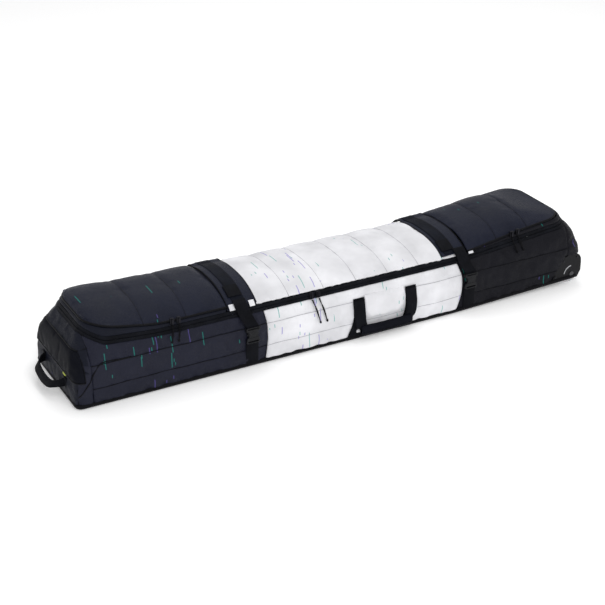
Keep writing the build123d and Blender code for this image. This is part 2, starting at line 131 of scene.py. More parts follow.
def zip_top(x):
    """Top of the front wall and the ends, where the zip starts."""
    return along(x, ZIP_LINE)


def wall_foot(x):
    """Bottom of the walls, just inside the base's turned-up strip."""
    return along(x, BASE_LINE) + 4


def half_width(z):
    """Half width of the bag at height z: upright, then leaning in above the shoulder."""
    return HALF_WIDTH - LEAN_Y * max(0.0, z - SHOULDER_Z)


def corner_radius(end, z):
    """The plan's corners are tight at the base and rounder at the zip."""
    if end < 0:
        return 18.0 + 64.0 * smooth((z - 40) / 165)
    return 34.0 + 22.0 * smooth((z - 100) / 70)


NEAR_DRAW = [(84, 0), (125, 7), (165, 19), (190, 37), (212, 48.5), (300, 100)]
FAR_DRAW = [(104, 0), (138, 3), (166, 10), (188, 26), (212, 48.5), (300, 100)]


def end_reach(end, z):
    """Distance of an end face from the origin at height z: upright, then drawn in over the shoulder."""
    return abs(end) - eased(z, NEAR_DRAW if end < 0 else FAR_DRAW, 9.0)


def front_y(x, z):
    """Half width at x and z, drawn in near the ends where the corners are round."""
    end = END_NEAR if x < 0 else END_FAR
    radius = corner_radius(end, z)
    into = radius - (end_reach(end, z) - abs(x))
    into = min(max(into, 0.0), radius)
    return half_width(z) - (radius - sqrt(radius * radius - into * into))


def end_path(end, z, start, counts):
    """Points and outward directions round one end at height z, from x=start on the front to the back.

    counts: columns on the straight, on the corner and across the end."""
    sign = -1 if end < 0 else 1
    reach, half, radius = end_reach(end, z), half_width(z), corner_radius(end, z)
    bend = reach - radius
    first = abs(start)
    path = []
    angle, turns = 0.0, counts[1]
    if first < bend:
        path += [(sign * q, -half, 0.0, -1.0) for q in spread(first, bend, counts[0])[:-1]]
    else:
        angle = asin(min(1.0, (first - bend) / radius))
        turns += counts[0]
    for a in spread(angle, pi / 2, turns)[:-1]:
        x, y = bend + radius * sin(a), half - radius + radius * cos(a)
        path.append((sign * x, -y, sign * sin(a), -cos(a)))
    path += [(sign * reach, y, sign, 0.0) for y in spread(-(half - radius), 0, counts[2] // 2)]
    mirrored = [(x, -y, nx, -ny) for x, y, nx, ny in path[:-1]]
    return path + mirrored[::-1]


def stand_off(step, z, proud):
    """A step of an end's path at height z, moved outwards."""
    x, y, nx, ny = step
    return (x + nx * proud, y + ny * proud, z)


def mesh_object(name, points, faces, uvs=None):
    """Mesh from points in millimetres."""
    mesh = bpy.data.meshes.new(name)
    mesh.from_pydata([Vector(p) * MM for p in points], [], faces)
    if uvs:
        layer = mesh.uv_layers.new(name="UVMap")
        for loop in mesh.loops:
            layer.data[loop.index].uv = uvs[loop.vertex_index]
    mesh.polygons.foreach_set("use_smooth", [True] * len(mesh.polygons))
    mesh.update()
    return add_object(name, mesh)


def piece_on(piece, body, nodes=(), slot=None, materials=()):
    """Give a piece its materials, its body and the nodes it stands for. slot: not used."""
    for entry in materials:
        piece.data.materials.append(entry)
    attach(piece, body)
    if nodes:
        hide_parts(*([nodes] if isinstance(nodes, str) else nodes))


def grid(name, rows, close=False, flip=False):
    """Sheet through rows of points; its UVs run along the rows and up the columns, in metres."""
    count = len(rows[0])
    points = [p for row in rows for p in row]
    across = count if close else count - 1
    faces = []
    for j in range(len(rows) - 1):
        for i in range(across):
            k = (i + 1) % count
            face = (j * count + i, j * count + k, (j + 1) * count + k, (j + 1) * count + i)
            faces.append(face[::-1] if flip else face)
    middle = rows[len(rows) // 2]
    u = [0.0]
    for a, b in zip(middle, middle[1:]):
        u.append(u[-1] + (Vector(b) - Vector(a)).length * MM)
    start = middle[0][0] * MM
    uvs = []
    heights = [0.0] * count
    for j, row in enumerate(rows):
        for i, p in enumerate(row):
            if j:
                heights[i] += (Vector(p) - Vector(rows[j - 1][i])).length * MM
            uvs.append((start + u[i], heights[i]))
    return mesh_object(name, points, faces, uvs)


def sheet(name, columns, levels, place, flip=False):
    """Sheet whose point at each column and level is given by place(column, level)."""
    return grid(name, [[place(c, v) for c in columns] for v in levels], flip=flip)


def thicken(piece, thickness, inner=None, levels=1):
    """Give a sheet its thickness inwards, and smooth it."""
    if levels:
        sub = piece.modifiers.new("smooth", "SUBSURF")
        sub.levels = sub.render_levels = levels
    wall = piece.modifiers.new("thickness", "SOLIDIFY")
    wall.thickness, wall.offset = thickness * MM, -1.0
    wall.use_even_offset = True
    if inner is not None:
        piece.data.materials.append(inner)
        wall.material_offset = 1


START_PUFF, SINK_LIMIT, CLOTH_FRAMES = 0.0012, 0.002, 20


def swell(piece, rows, sewn_rows=(), sewn_columns=(), pressure=3.0, grow=0.02, cap=7.0, seed=1.0):
    """Cloth simulation: the sheet is held along its border and seams and blown out between them.

    cap: how far a point may move, in millimetres."""
    held = held_in_grid(len(rows), len(rows[0]), sewn_rows, sewn_columns)
    mesh = piece.data
    rest = [v.co.copy() for v in mesh.vertices]
    normals = [v.normal.copy() for v in mesh.vertices]
    for v, co, n in zip(mesh.vertices, rest, normals):
        if v.index not in held:
            uneven = noise.noise(co * 38 + Vector((seed, 0, 0)))
            v.co = co + n * (START_PUFF + START_PUFF * uneven)
    pins = piece.vertex_groups.new(name="seams")
    pins.add(sorted(held), 1.0, "REPLACE")
    cloth = piece.modifiers.new("cloth", "CLOTH")
    facts = cloth.settings
    facts.quality, facts.mass = 4, 0.25
    facts.tension_stiffness = facts.compression_stiffness = 12
    facts.shear_stiffness, facts.bending_stiffness = 4, 0.4
    facts.vertex_group_mass = "seams"
    facts.shrink_min = facts.shrink_max = -grow
    facts.use_pressure, facts.uniform_pressure_force = True, pressure
    facts.effector_weights.gravity = 0
    facts.air_damping = 2
    cloth.collision_settings.use_collision = False
    scene = bpy.context.scene
    cloth.point_cache.frame_start, cloth.point_cache.frame_end = 1, CLOTH_FRAMES
    for frame_number in range(1, CLOTH_FRAMES + 1):
        scene.frame_set(frame_number)
    moved = piece.evaluated_get(bpy.context.evaluated_depsgraph_get())
    shape = [v.co.copy() for v in moved.data.vertices]
    piece.modifiers.remove(cloth)
    for v, old, new, n in zip(mesh.vertices, rest, shape, normals):
        step = new - old
        out = step.dot(n)
        if out < -SINK_LIMIT:
            step -= n * (out + SINK_LIMIT)
        if step.length > cap * MM:
            step *= cap * MM / step.length
        v.co = old + step
    scene.frame_set(1)
    mesh.update()


def held_in_grid(rows, columns, held_rows, held_columns):
    """Vertex numbers of a grid's border and of the rows and columns that are sewn down."""
    keep = set()
    for j in list(held_rows) + [0, rows - 1]:
        keep.update(j * columns + i for i in range(columns))
    for i in list(held_columns) + [0, columns - 1]:
        keep.update(j * columns + i for j in range(rows))
    return keep


def directions(points):
    """Unit vectors along a line of points."""
    return [(b - a).normalized() for a, b in zip(points[:1] + points[:-1], points[1:] + points[-1:])]


def skin(rings, sides, flip=False):
    """Faces of a closed tube: rings of points, and a cap at each end."""
    faces = []
    for a in range(0, (rings - 1) * sides, sides):
        b = a + sides
        for k in range(sides):
            n = (k + 1) % sides
            faces.append((a + k, a + n, b + n, b + k) if flip else (a + k, b + k, b + n, a + n))
    caps = [tuple(range(sides)), tuple(range((rings - 1) * sides, rings * sides))[::-1]]
    return faces + [cap[::-1] if flip else cap for cap in caps]


def tube(name, path, radius, sides=8):
    """Round tube through points in millimetres."""
    points = [Vector(p) for p in path]
    rings, uvs = [], []
    normal = None
    run = 0.0
    for i, (p, ahead) in enumerate(zip(points, directions(points))):
        if normal is None:
            normal = ahead.orthogonal().normalized()
        normal = (normal - ahead * normal.dot(ahead)).normalized()
        side = ahead.cross(normal)
        if i:
            run += (p - points[i - 1]).length * MM
        for k in range(sides):
            a = 2 * pi * k / sides
            rings.append(p + (normal * cos(a) + side * sin(a)) * radius)
            uvs.append((run, k / sides * radius * 6 * MM))
    return mesh_object(name, rings, skin(len(points), sides), uvs)


def ribbon(name, centre, widths, thickness, across):
    """Webbing with rounded edges; half width and direction across may be lists, one for each point."""
    points = [Vector(p) for p in centre]
    count = len(points)
    halves = widths if isinstance(widths, list) else [widths] * count
    crossings = across if isinstance(across, list) else [across] * count
    upper = [(-1, 0.35), (-0.97, 0.5), (0.97, 0.5), (1, 0.35)]
    profile = upper + [(a, -b) for a, b in upper[::-1]]
    rings, uvs = [], []
    run = 0.0
    for i, (p, ahead, half, way) in enumerate(zip(points, directions(points), halves, crossings)):
        way = Vector(way).normalized()
        out = ahead.cross(way).normalized()
        if i:
            run += (p - points[i - 1]).length * MM
        for a, b in profile:
            rings.append(p + way * half * a + out * thickness * b)
            uvs.append((half * a * MM, run))
    return mesh_object(name, rings, skin(count, len(profile), flip=True), uvs)


def spline_points(points, steps=10):
    """Points along a smooth curve through a few given ones."""
    given = [Vector(p) for p in points]
    given = [given[0] * 2 - given[1]] + given + [given[-1] * 2 - given[-2]]
    out = []
    for a, b, c, d in zip(given, given[1:], given[2:], given[3:]):
        for k in range(steps):
            t = k / steps
            bend = (2 * a - 5 * b + 4 * c - d) * t * t + (3 * b - a - 3 * c + d) * t ** 3
            out.append(0.5 * (2 * b + (c - a) * t + bend))
    out.append(given[-2])
    return out


def soft_box(name, low, high, bevel):
    """Moulded block with rounded edges."""
    (x0, y0, z0), (x1, y1, z1) = low, high
    points = [(x, y, z) for z in (z0, z1) for x, y in ((x0, y0), (x1, y0), (x1, y1), (x0, y1))]
    faces = [(0, 3, 2, 1), (4, 5, 6, 7), (0, 1, 5, 4), (1, 2, 6, 5), (2, 3, 7, 6), (3, 0, 4, 7)]
    piece = mesh_object(name, points, faces)
    edge = piece.modifiers.new("bevel", "BEVEL")
    edge.width, edge.segments = bevel * MM, 3
    return piece


def curve_mesh(name, curve):
    """Mesh of a curve, which is removed again."""
    drawn = add_object(name, curve)
    mesh = bpy.data.meshes.new_from_object(drawn.evaluated_get(bpy.context.evaluated_depsgraph_get()))
    bpy.data.objects.remove(drawn)
    return mesh


def plate(name, outline, plane, depth, bevel=0.8, holes=()):
    """Flat part cut from an outline given in x and z, from y=plane outwards by depth."""
    curve = bpy.data.curves.new(name, "CURVE")
    curve.dimensions, curve.fill_mode = "2D", "BOTH"
    curve.extrude, curve.bevel_depth, curve.bevel_resolution = (depth / 2 - bevel) * MM, bevel * MM, 2
    curve.offset = -bevel * MM
    for loop in (outline,) + tuple(holes):
        spline = curve.splines.new("POLY")
        spline.points.add(len(loop) - 1)
        for point, (x, z) in zip(spline.points, loop):
            point.co = (x * MM, z * MM, 0, 1)
        spline.use_cyclic_u = True
    mesh = curve_mesh(name, curve)
    mesh.transform(Matrix.Rotation(pi / 2, 4, "X"))
    mesh.transform(Matrix.Translation((0, (plane - depth / 2) * MM, 0)))
    return add_object(name, mesh)


# ---- materials ---------------------------------------------------------------------------------
class Shade:
    """A node material being put together."""

    def __init__(self, name, colour, rough, **sockets):
        self.material = bpy.data.materials.new(name)
        self.material.use_nodes = True
        self.tree = self.material.node_tree
        self.shader = self.tree.nodes["Principled BSDF"]
        self.shader.inputs["Base Color"].default_value = (*colour, 1)
        self.shader.inputs["Roughness"].default_value = rough
        for key, value in sockets.items():
            self.shader.inputs[key.replace("_", " ")].default_value = value
        self.colour = colour
        self.bumps = None

    def node(self, kind, links=None, **values):
        """Add a node; links are its inputs, each another node's output or a plain value."""
        made = self.tree.nodes.new(kind)
        for key, value in values.items():
            setattr(made, key, value)
        for key, value in (links or {}).items():
            socket = made.inputs[key]
            if hasattr(value, "is_output"):
                self.tree.links.new(value, socket)
            else:
                socket.default_value = value
        return made.outputs

    def maths(self, operation, *values):
        return self.node("ShaderNodeMath", dict(enumerate(values)), operation=operation)[0]

    def place(self, which="Object"):
        """Texture coordinates, in metres."""
        return self.node("ShaderNodeTexCoord")[which]

    def noise(self, where, scale, detail=2.0, rough=0.5, stretch=None):
        if stretch:
            where = self.node("ShaderNodeMapping", {"Vector": where, "Scale": stretch})[0]
        facts = {"Vector": where, "Scale": scale, "Detail": detail, "Roughness": rough}
        return self.node("ShaderNodeTexNoise", facts)

    def ramp(self, value, stops, constant=False):
        """Colour that changes with value, through (position, colour) stops."""
        out = self.node("ShaderNodeValToRGB", {"Fac": value})
        band = out[0].node.color_ramp
        band.interpolation = "CONSTANT" if constant else "LINEAR"
        for element, (place, colour) in zip(band.elements, stops):
            element.position, element.color = place, (*colour, 1)
        for place, colour in stops[2:]:
            band.elements.new(place).color = (*colour, 1)
        return out[0]

    def mix(self, factor, a, b):
        made = self.tree.nodes.new("ShaderNodeMix")
        made.data_type = "RGBA"
        for socket, value in ((made.inputs["Factor"], factor), (made.inputs[6], a), (made.inputs[7], b)):
            if hasattr(value, "is_output"):
                self.tree.links.new(value, socket)
            else:
                socket.default_value = value if isinstance(value, float) else (*value, 1)
        return made.outputs[2]

    def bump(self, height, distance, strength=1.0):
        """Stack a bump on the ones before it; distance in metres."""
        links = {"Height": height, "Distance": distance, "Strength": strength}
        if self.bumps is not None:
            links["Normal"] = self.bumps
        self.bumps = self.node("ShaderNodeBump", links)[0]
        self.tree.links.new(self.bumps, self.shader.inputs["Normal"])

    def paint(self, colour):
        self.tree.links.new(colour, self.shader.inputs["Base Color"])

    def tint(self, value, dark, light, span=(0.3, 0.7)):
        """The material's own colour, from darker to lighter as value grows."""
        shades = [[min(1.0, c * amount) for c in self.colour] for amount in (dark, light)]
        return self.ramp(value, list(zip(span, shades)))

    def roughness(self, value, low, high):
        worn = self.node("ShaderNodeMapRange", {"Value": value, "To Min": low, "To Max": high})[0]
        self.tree.links.new(worn, self.shader.inputs["Roughness"])


def threads(shade, period, axes=("X", "Y"), where="UV"):
    """Over-and-under weave height from two sine waves, period in metres."""
    parts = shade.node("ShaderNodeSeparateXYZ", {"Vector": shade.place(where)})
    waves = [shade.maths("SINE", shade.maths("MULTIPLY", parts[axis], 2 * pi / period)) for axis in axes]
    return shade.maths("MULTIPLY", *waves) if len(waves) == 2 else waves[0]


def prints(shade, width, length, share, seed, fill):
    """Where short printed dashes lie (0 or 1), and a random number for each."""
    parts = shade.node("ShaderNodeSeparateXYZ", {"Vector": shade.place("UV")})
    across = shade.maths("ADD", shade.maths("DIVIDE", parts["X"], width), seed)
    column = shade.maths("FLOOR", across)
    shift = shade.node("ShaderNodeTexWhiteNoise", {"W": column}, noise_dimensions="1D")["Value"]
    run = shade.maths("ADD", shade.maths("DIVIDE", parts["Y"], length), shade.maths("MULTIPLY", shift, 7.0))
    cell = shade.node("ShaderNodeCombineXYZ", {"X": column, "Y": shade.maths("FLOOR", run), "Z": seed})[0]
    pick = shade.node("ShaderNodeTexWhiteNoise", {"Vector": cell}, noise_dimensions="3D")
    clusters = shade.noise(shade.place("UV"), 5.0, 1.0, stretch=(1.6, 0.8, 1.0))[0]
    density = shade.maths("MULTIPLY", shade.maths("SUBTRACT", clusters, 0.46), share)
    level = shade.maths("SUBTRACT", 1.0, density)
    here = shade.maths("GREATER_THAN", pick["Value"], level)
    narrow = shade.maths("LESS_THAN", shade.maths("FRACT", across), fill)
    short = shade.maths("LESS_THAN", shade.maths("FRACT", run), 0.82)
    return shade.maths("MULTIPLY", shade.maths("MULTIPLY", here, narrow), short), pick["Color"]


def fabric(name, colour, inks, rough, gloss, share):
    """Printed ripstop: weave, soft creases, uneven dye and scattered printed dashes."""
    shade = Shade(name, colour, rough, Specular_IOR_Level=gloss, Sheen_Weight=0.0)
    where = shade.place()
    dye = shade.noise(where, 9.0, 3.0)[0]
    tone = shade.tint(dye, 0.84, 1.12)
    long_dashes = (0.0046, 0.058, share, 3.0, 0.62)
    short_dashes = (0.0040, 0.013, share * 0.45, 11.0, 0.7)
    for dashes in (long_dashes, short_dashes):
        mask, random = prints(shade, *dashes)
        red = shade.node("ShaderNodeSeparateColor", {"Color": random})[1]
        ink = shade.ramp(red, [(0.0, inks[0]), (0.56, inks[1]), (0.985, inks[2])], constant=True)
        tone = shade.mix(shade.maths("MULTIPLY", mask, 0.75), tone, ink)
    shade.paint(tone)
    crease = shade.noise(where, 26.0, 4.0, 0.62, stretch=(1.0, 1.0, 0.45))[0]
    shade.bump(crease, 0.0045, 0.65)
    height = shade.node("ShaderNodeSeparateXYZ", {"Vector": where})["Z"]
    black, white = (0, 0, 0), (1, 1, 1)
    under_zip = shade.ramp(height, [(0.118, black), (0.136, white), (0.168, white), (0.182, black)])
    puckers = shade.noise(where, 70.0, 2.0, stretch=(1.0, 1.0, 0.10))[0]
    shade.bump(shade.maths("MULTIPLY", puckers, under_zip), 0.0045, 0.7)
    shade.bump(threads(shade, 0.0019), 0.00022, 0.7)
    shade.roughness(dye, rough - 0.06, rough + 0.1)
    return shade.material


def plain_fabric(name, colour, rough, period=0.0016, gloss=0.15):
    """Unprinted cloth, with a weave of the given period in metres."""
    shade = Shade(name, colour, rough, Specular_IOR_Level=gloss)
    dye = shade.noise(shade.place(), 14.0, 3.0)[0]
    shade.paint(shade.tint(dye, 0.8, 1.15))
    shade.bump(shade.noise(shade.place(), 40.0, 3.0)[0], 0.0018, 0.4)
    shade.bump(threads(shade, period, where="Object", axes=("X", "Z")), 0.0002, 0.6)
    return shade.material


def webbing(name, colour, period=0.0032):
    """Ribbed webbing: ribs across its length with a finer twill, and uneven dye."""
    shade = Shade(name, colour, 0.62, Specular_IOR_Level=0.07)
    dye = shade.noise(shade.place(), 30.0, 3.0)[0]
    shade.paint(shade.tint(dye, 0.75, 1.5, (0.3, 0.75)))
    shade.bump(threads(shade, period, axes=("Y",)), 0.0004, 0.7)
    shade.bump(threads(shade, 0.0022), 0.0002, 0.5)
    return shade.material


def moulded(name, colour, rough, grain=900.0, depth=0.00015, **sockets):
    """Moulded plastic or rubber with a fine grain and slight wear."""
    shade = Shade(name, colour, rough, **sockets)
    where = shade.place()
    wear = shade.noise(where, 45.0, 4.0)[0]
    shade.paint(shade.tint(wear, 0.85, 1.25, (0.35, 0.8)))
    shade.bump(shade.noise(where, grain, 2.0)[0], depth, 0.6)
    shade.roughness(wear, rough - 0.08, rough + 0.1)
    return shade.material


def metal(name, colour, rough):
    """Plated metal with fine scratches."""
    shade = Shade(name, colour, rough, Metallic=1.0)
    scratches = shade.noise(shade.place(), 220.0, 3.0, stretch=(1.0, 6.0, 1.0))[0]
    shade.bump(scratches, 0.0001, 0.5)
    shade.roughness(scratches, rough - 0.08, rough + 0.12)
    return shade.material


DARK_INKS = ((0.011, 0.175, 0.150), (0.080, 0.062, 0.240), (0.40, 0.40, 0.25))
PALE_INKS = ((0.12, 0.44, 0.40), (0.24, 0.19, 0.60), (0.80, 0.76, 0.25))
CHARCOAL = fabric("charcoal_print", (0.0100, 0.0113, 0.0240), DARK_INKS, 0.48, 0.18, 0.24)
# Painted shade: a darker copy of the charcoal print, with fewer dashes, for the faces of the ends, which
# stand in shade.
CHARCOAL_END_PAINTED_SHADE = fabric("charcoal_end_painted_shade", (0.0070, 0.0085, 0.0165), DARK_INKS, 0.5, 0.12, 0.04)
# Painted shade: a darker copy of the charcoal print for the far half of the bag, which stands in shade.
CHARCOAL_FAR_PAINTED_SHADE = fabric("charcoal_far_painted_shade", (0.0055, 0.0056, 0.0090), DARK_INKS, 0.5, 0.12, 0.18)
# Painted light: a copy of the charcoal print whose tone is set for the light falling on the tops of the flaps
# and saddles.
CHARCOAL_TOP_PAINTED_LIGHT = fabric("charcoal_flap_painted_light", (0.0078, 0.0100, 0.0225), DARK_INKS, 0.45, 0.13, 0.05)
WHITE = fabric("white_print", (0.800, 0.800, 0.830), PALE_INKS, 0.6, 0.25, 0.24)
LINING = plain_fabric("lining_cloth", (0.075, 0.08, 0.095), 0.7)
TARPAULIN = plain_fabric("base_tarpaulin", (0.0030, 0.0031, 0.0045), 0.5, period=0.0026, gloss=0.08)
PLAIN_WHITE = plain_fabric("white_trim_cloth", (0.80, 0.80, 0.83), 0.6)
BLACK_CLOTH = plain_fabric("black_cloth", (0.0034, 0.0040, 0.0075), 0.62, gloss=0.07)
WEBBING = webbing("black_webbing", (0.0036, 0.0040, 0.0060))
STRAP_NAVY = webbing("navy_webbing", (0.0050, 0.0062, 0.0110))
ZIP_CLOTH = webbing("zip_tape_cloth", (0.0055, 0.0062, 0.0090), 0.0016)
PIPING = plain_fabric("piping_cloth", (0.0030, 0.0033, 0.0050), 0.45, period=0.0012, gloss=0.1)
STITCH = plain_fabric("grey_thread", (0.44, 0.44, 0.47), 0.7)
LIME = plain_fabric("lime_trim_cloth", (0.50, 0.56, 0.10), 0.6)
CORD = webbing("cord_braid", (0.0070, 0.0070, 0.0085), 0.0012)
PLASTIC = moulded("buckle_plastic", (0.0034, 0.0038, 0.0056), 0.34, Specular_IOR_Level=0.2)
HOUSING = moulded("housing_plastic", (0.0042, 0.0044, 0.0058), 0.42, 1400.0, 0.0002, Specular_IOR_Level=0.16)
BOARD = moulded("board_plastic", (0.03, 0.03, 0.033), 0.5, 500.0)
URETHANE = moulded("wheel_urethane", (0.55, 0.56, 0.58), 0.34, 700.0, Coat_Weight=0.3, Subsurface_Weight=0.1)
HUB = moulded("hub_plastic", (0.25, 0.25, 0.26), 0.4)
STRIPE = moulded("stripe_plastic", (0.42, 0.43, 0.45), 0.4)
ZIP_METAL = metal("zip_gunmetal", (0.020, 0.020, 0.024), 0.42)
STEEL = metal("axle_zinc", (0.08, 0.08, 0.085), 0.4)
SCREW = metal("screw_black", (0.03, 0.03, 0.035), 0.45)
BEARING = metal("bearing_chrome", (0.6, 0.6, 0.6), 0.25)

CAD_LOOKS = {
    "base_board": BOARD, "front_wheel_housing": HOUSING, "back_wheel_housing": HOUSING,
    "front_wheel_tyre": URETHANE, "back_wheel_tyre": URETHANE, "front_wheel_hub": HUB, "back_wheel_hub": HUB,
    "front_wheel_bearings": BEARING, "back_wheel_bearings": BEARING, "wheel_axles": STEEL,
    "housing_stripes": STRIPE, "housing_screws": SCREW,
}
for zip_name in ("main_zip", "near_pocket", "far_pocket"):
    for letter in "ab":
        CAD_LOOKS[zip_name + "_slider_" + letter] = ZIP_METAL
for name, look in CAD_LOOKS.items():
    node = bpy.data.objects[name]
    node.data.materials.clear()
    node.data.materials.append(look)


def piping(name, points, radius, body="tub", look=PIPING, slot="black_webbing"):
    """Thin round trim along a seam or an edge."""
    piece_on(tube(name, points, radius), body, slot=slot, materials=[look])


def strip(name, line, half, thickness, body, nodes, steps=6, across=(1, 0, 0)):
    """Black webbing along a smooth line through a few points."""
    web = ribbon(name, spline_points(line, steps), half, thickness, across)
    piece_on(web, body, nodes, "black_webbing", [WEBBING])


def plastic(piece, body, nodes=()):
    """Part of a buckle."""
    piece_on(piece, body, nodes, "black_plastic", [PLASTIC])


# ---- zip pulls: doubled cords, each ending in a knot -------------------------------------------
MAIN_ROUTE = [(0, -11.5, -9), (1.5, -18.5, -20), (6, -24.5, -34), (14, -25.0, -60), (20.5, -25.0, -82)]
NEAR_ROUTE = [(0, -11.9, -9), (-1.5, -16.9, -21), (-4, -20.9, -34), (-6, -22.7, -46), (-8.5, -23.6, -56)]
FAR_ROUTE = [(0, -10.9, -9), (2, -14.9, -21), (6, -18.9, -34), (11, -21.9, -47), (15, -23.8, -58)]
PULLS = {
    "main_zip": ((-110, -87), lambda x: 178.0, MAIN_ROUTE),
    "near_pocket": ((-556, -535), lambda x: 202.0, NEAR_ROUTE),
    "far_pocket": ((617, 640), lambda x: along(x, FAR_EDGE) + 1, FAR_ROUTE),
}


def route_points(points):
    """Points along the route's own NURBS spline, in millimetres."""
    curve = bpy.data.curves.new("route", "CURVE")
    curve.dimensions = "3D"
    spline = curve.splines.new("NURBS")
    spline.points.add(len(points) - 1)
    for point, place in zip(spline.points, points):
        point.co = (*[c * MM for c in place], 1)
    spline.order_u = 3
    spline.use_endpoint_u = True
    spline.resolution_u = 8
    return [v.co / MM for v in curve_mesh("route", curve).vertices]


def strands(name, path, radius, gap, turns):
    """Two strands side by side that cross over slowly, as one mesh."""
    both_points, both_faces, both_uvs = [], [], []
    for phase in (0.0, pi):
        line = []
        for i, (p, ahead) in enumerate(zip(path, directions(path))):
            side = ahead.cross(Vector((0, 1, 0))).normalized()
            out = side.cross(ahead)
            a = phase + turns * 2 * pi * i / (len(path) - 1)
            line.append(p + (side * cos(a) + out * sin(a)) * gap)
        part = tube("strand", line, radius)
        base = len(both_points)
        both_points += [v.co / MM for v in part.data.vertices]
        both_faces += [tuple(base + v for v in f.vertices) for f in part.data.polygons]
        layer = part.data.uv_layers[0].data
        corners = {loop.vertex_index: tuple(layer[loop.index].uv) for loop in part.data.loops}
        both_uvs += [corners[k] for k in range(len(part.data.vertices))]
        bpy.data.objects.remove(part)
    return mesh_object(name, both_points, both_faces, both_uvs)


def knot(name, place, ahead):
    """Barrel knot: three turns of cord round the doubled end."""
    side = ahead.orthogonal().normalized()
    other = ahead.cross(side)
    path = []
    for k in range(37):
        t = k / 36
        a = 6 * pi * t
        swell_out = 1.9 * (1 - abs(2 * t - 1) ** 3 * 0.6)
        path.append(place + ahead * (6.5 * t - 3.0) + (side * cos(a) + other * sin(a)) * swell_out)
    return tube(name, path, 1.4)


for zip_name, (places, height, route) in PULLS.items():
    for letter, x in zip("ab", places):
        z = height(x)
        points = [(x + dx, -half_width(z) + dy, z + dz) for dx, dy, dz in route]
        line = route_points(points)
        node, body = zip_name + "_cord_" + letter, zip_name + "_pull_" + letter
        pull = strands(node + "_strands", line, 1.4, 1.25, 0.75)
        piece_on(pull, body, node, "cord_black", [CORD])
        end = knot(node + "_knot", line[-1], (line[-1] - line[-2]).normalized())
        piece_on(end, body, slot="cord_black", materials=[CORD])
        length = sum((b - a).length for a, b in zip(line, line[1:])) * MM

# ---- tub: walls ---------------------------------------------------------------------------------
STEP = 8.0
SEAM_A, SEAM_B = 130.0, 57.0
HOUSING_X, HOUSING_INNER = 770, 118


def wall_rows(columns, place, bottom, top, seams):
    """Rows of points between a bottom and a top line, with whole rows on the seams."""
    levels = [bottom] + list(seams) + [top]
    rows, sewn = [], []
    for low, high in zip(levels, levels[1:]):
        tallest = max(abs(high(c) - low(c)) for c in columns)
        count = max(2, round(tallest / STEP))
        for k in range(count):
            rows.append([place(c, low(c) + (high(c) - low(c)) * k / count) for c in columns])
        sewn.append(len(rows))
    rows.append([place(c, top(c)) for c in columns])
    return rows, sewn[:-1]


def border_shift(x, z):
    """The borders of the white middle lean towards the far end at mid height."""
    middle = sin(pi * min(1.0, max(0.0, z / 185)))
    near = 11 * (1 - smooth(abs(x - NEAR_BORDER) / 90))
    far = 24 * (1 - smooth(abs(x - FAR_BORDER) / 120))
    return (near + far) * middle


def crumple(piece, side, depth):
    """Upright puckers below the zip and slack creases lower down, none on the seams."""
    for vertex in piece.data.vertices:
        x, y, z = vertex.co / MM
        slack = smooth((min(abs(z - SEAM_A), abs(z - SEAM_B)) - 3) / 16) * smooth((z - 14) / 16)
        puckers = noise.noise(Vector((x * 0.045, z * 0.010, side * 3.0))) * smooth((zip_top(x) - 4 - z) / 12)
        creases = noise.noise(Vector((x * 0.014 + z * 0.016, z * 0.022 - x * 0.006, 5.0)))
        vertex.co.y += side * MM * depth * slack * (1.1 * puckers if z > SEAM_A else 1.3 * creases)


def side_wall(name, span, side, nodes, look, top):
    """One padded panel of a long side, sewn down along two seams."""
    columns = spread(*span, round((span[1] - span[0]) / STEP))

    def place(x, z):
        y = front_y(x, z)
        tuck = 0.0
        if look is not WHITE:
            tuck = 2.2 * (1 - smooth((min(abs(x - NEAR_BORDER), abs(x - FAR_BORDER)) - 10) / 14))
        if x > HOUSING_X:
            tuck = housing_tuck(x, z)
        x += border_shift(x, z)
        return (x, side * (y - tuck), z)

    def flat(level):
        return lambda x: level + 4 * noise.noise(Vector((x * 0.011, level, 0)))

    rows, sewn = wall_rows(columns, place, wall_foot, top, (flat(SEAM_B), flat(SEAM_A)))
    piece = grid(name, rows, flip=side > 0)
    swell(piece, rows, sewn, cap=6.0, seed=span[0] * 0.01 + side)
    crumple(piece, side, 1.2 if look is WHITE else 3.0)
    piece_on(piece, "tub", nodes, "white_fabric" if look is WHITE else "charcoal_fabric", [look])
    thicken(piece, 7.0, LINING)
    radius, thread = (0.7, STITCH) if look is WHITE else (1.1, PIPING)
    for k in sewn:
        line = [Vector(p) + Vector((0, side * 1.1, 0)) for p in rows[k]]
        piping(f"{name}_seam_{k}", line, radius, look=thread)


CHEEK = [(HOUSING_X, 12), (782, 31), (806, 90), (816, 98), (868, 109), (894, 111), (894, 8)]


def housing_tuck(x, z):
    """How far the fabric draws in where it passes behind the wheel housing's cheek."""
    inside = None
    for (xa, za), (xb, zb) in zip(CHEEK[:6], CHEEK[1:6]):
        length = sqrt((xb - xa) ** 2 + (zb - za) ** 2)
        depth = ((x - xa) * (zb - za) - (z - za) * (xb - xa)) / length
        inside = depth if inside is None else min(inside, depth)
    return 9.0 * smooth((inside + 3) / 7)


def back_seam(x):
    """Where the lid meets the back wall, rising to the zip's ends at the corners."""
    cut = END_CUTS[0] if x < 0 else END_CUTS[1]
    rise = smooth((abs(x) - abs(cut) + 60) / 56)
    return HINGE_Z + (zip_top(x) + ZIP_TAPE - HINGE_Z) * rise


def hinge_top(x):
    """Top of the back wall, just under that seam."""
    return back_seam(x) - 1


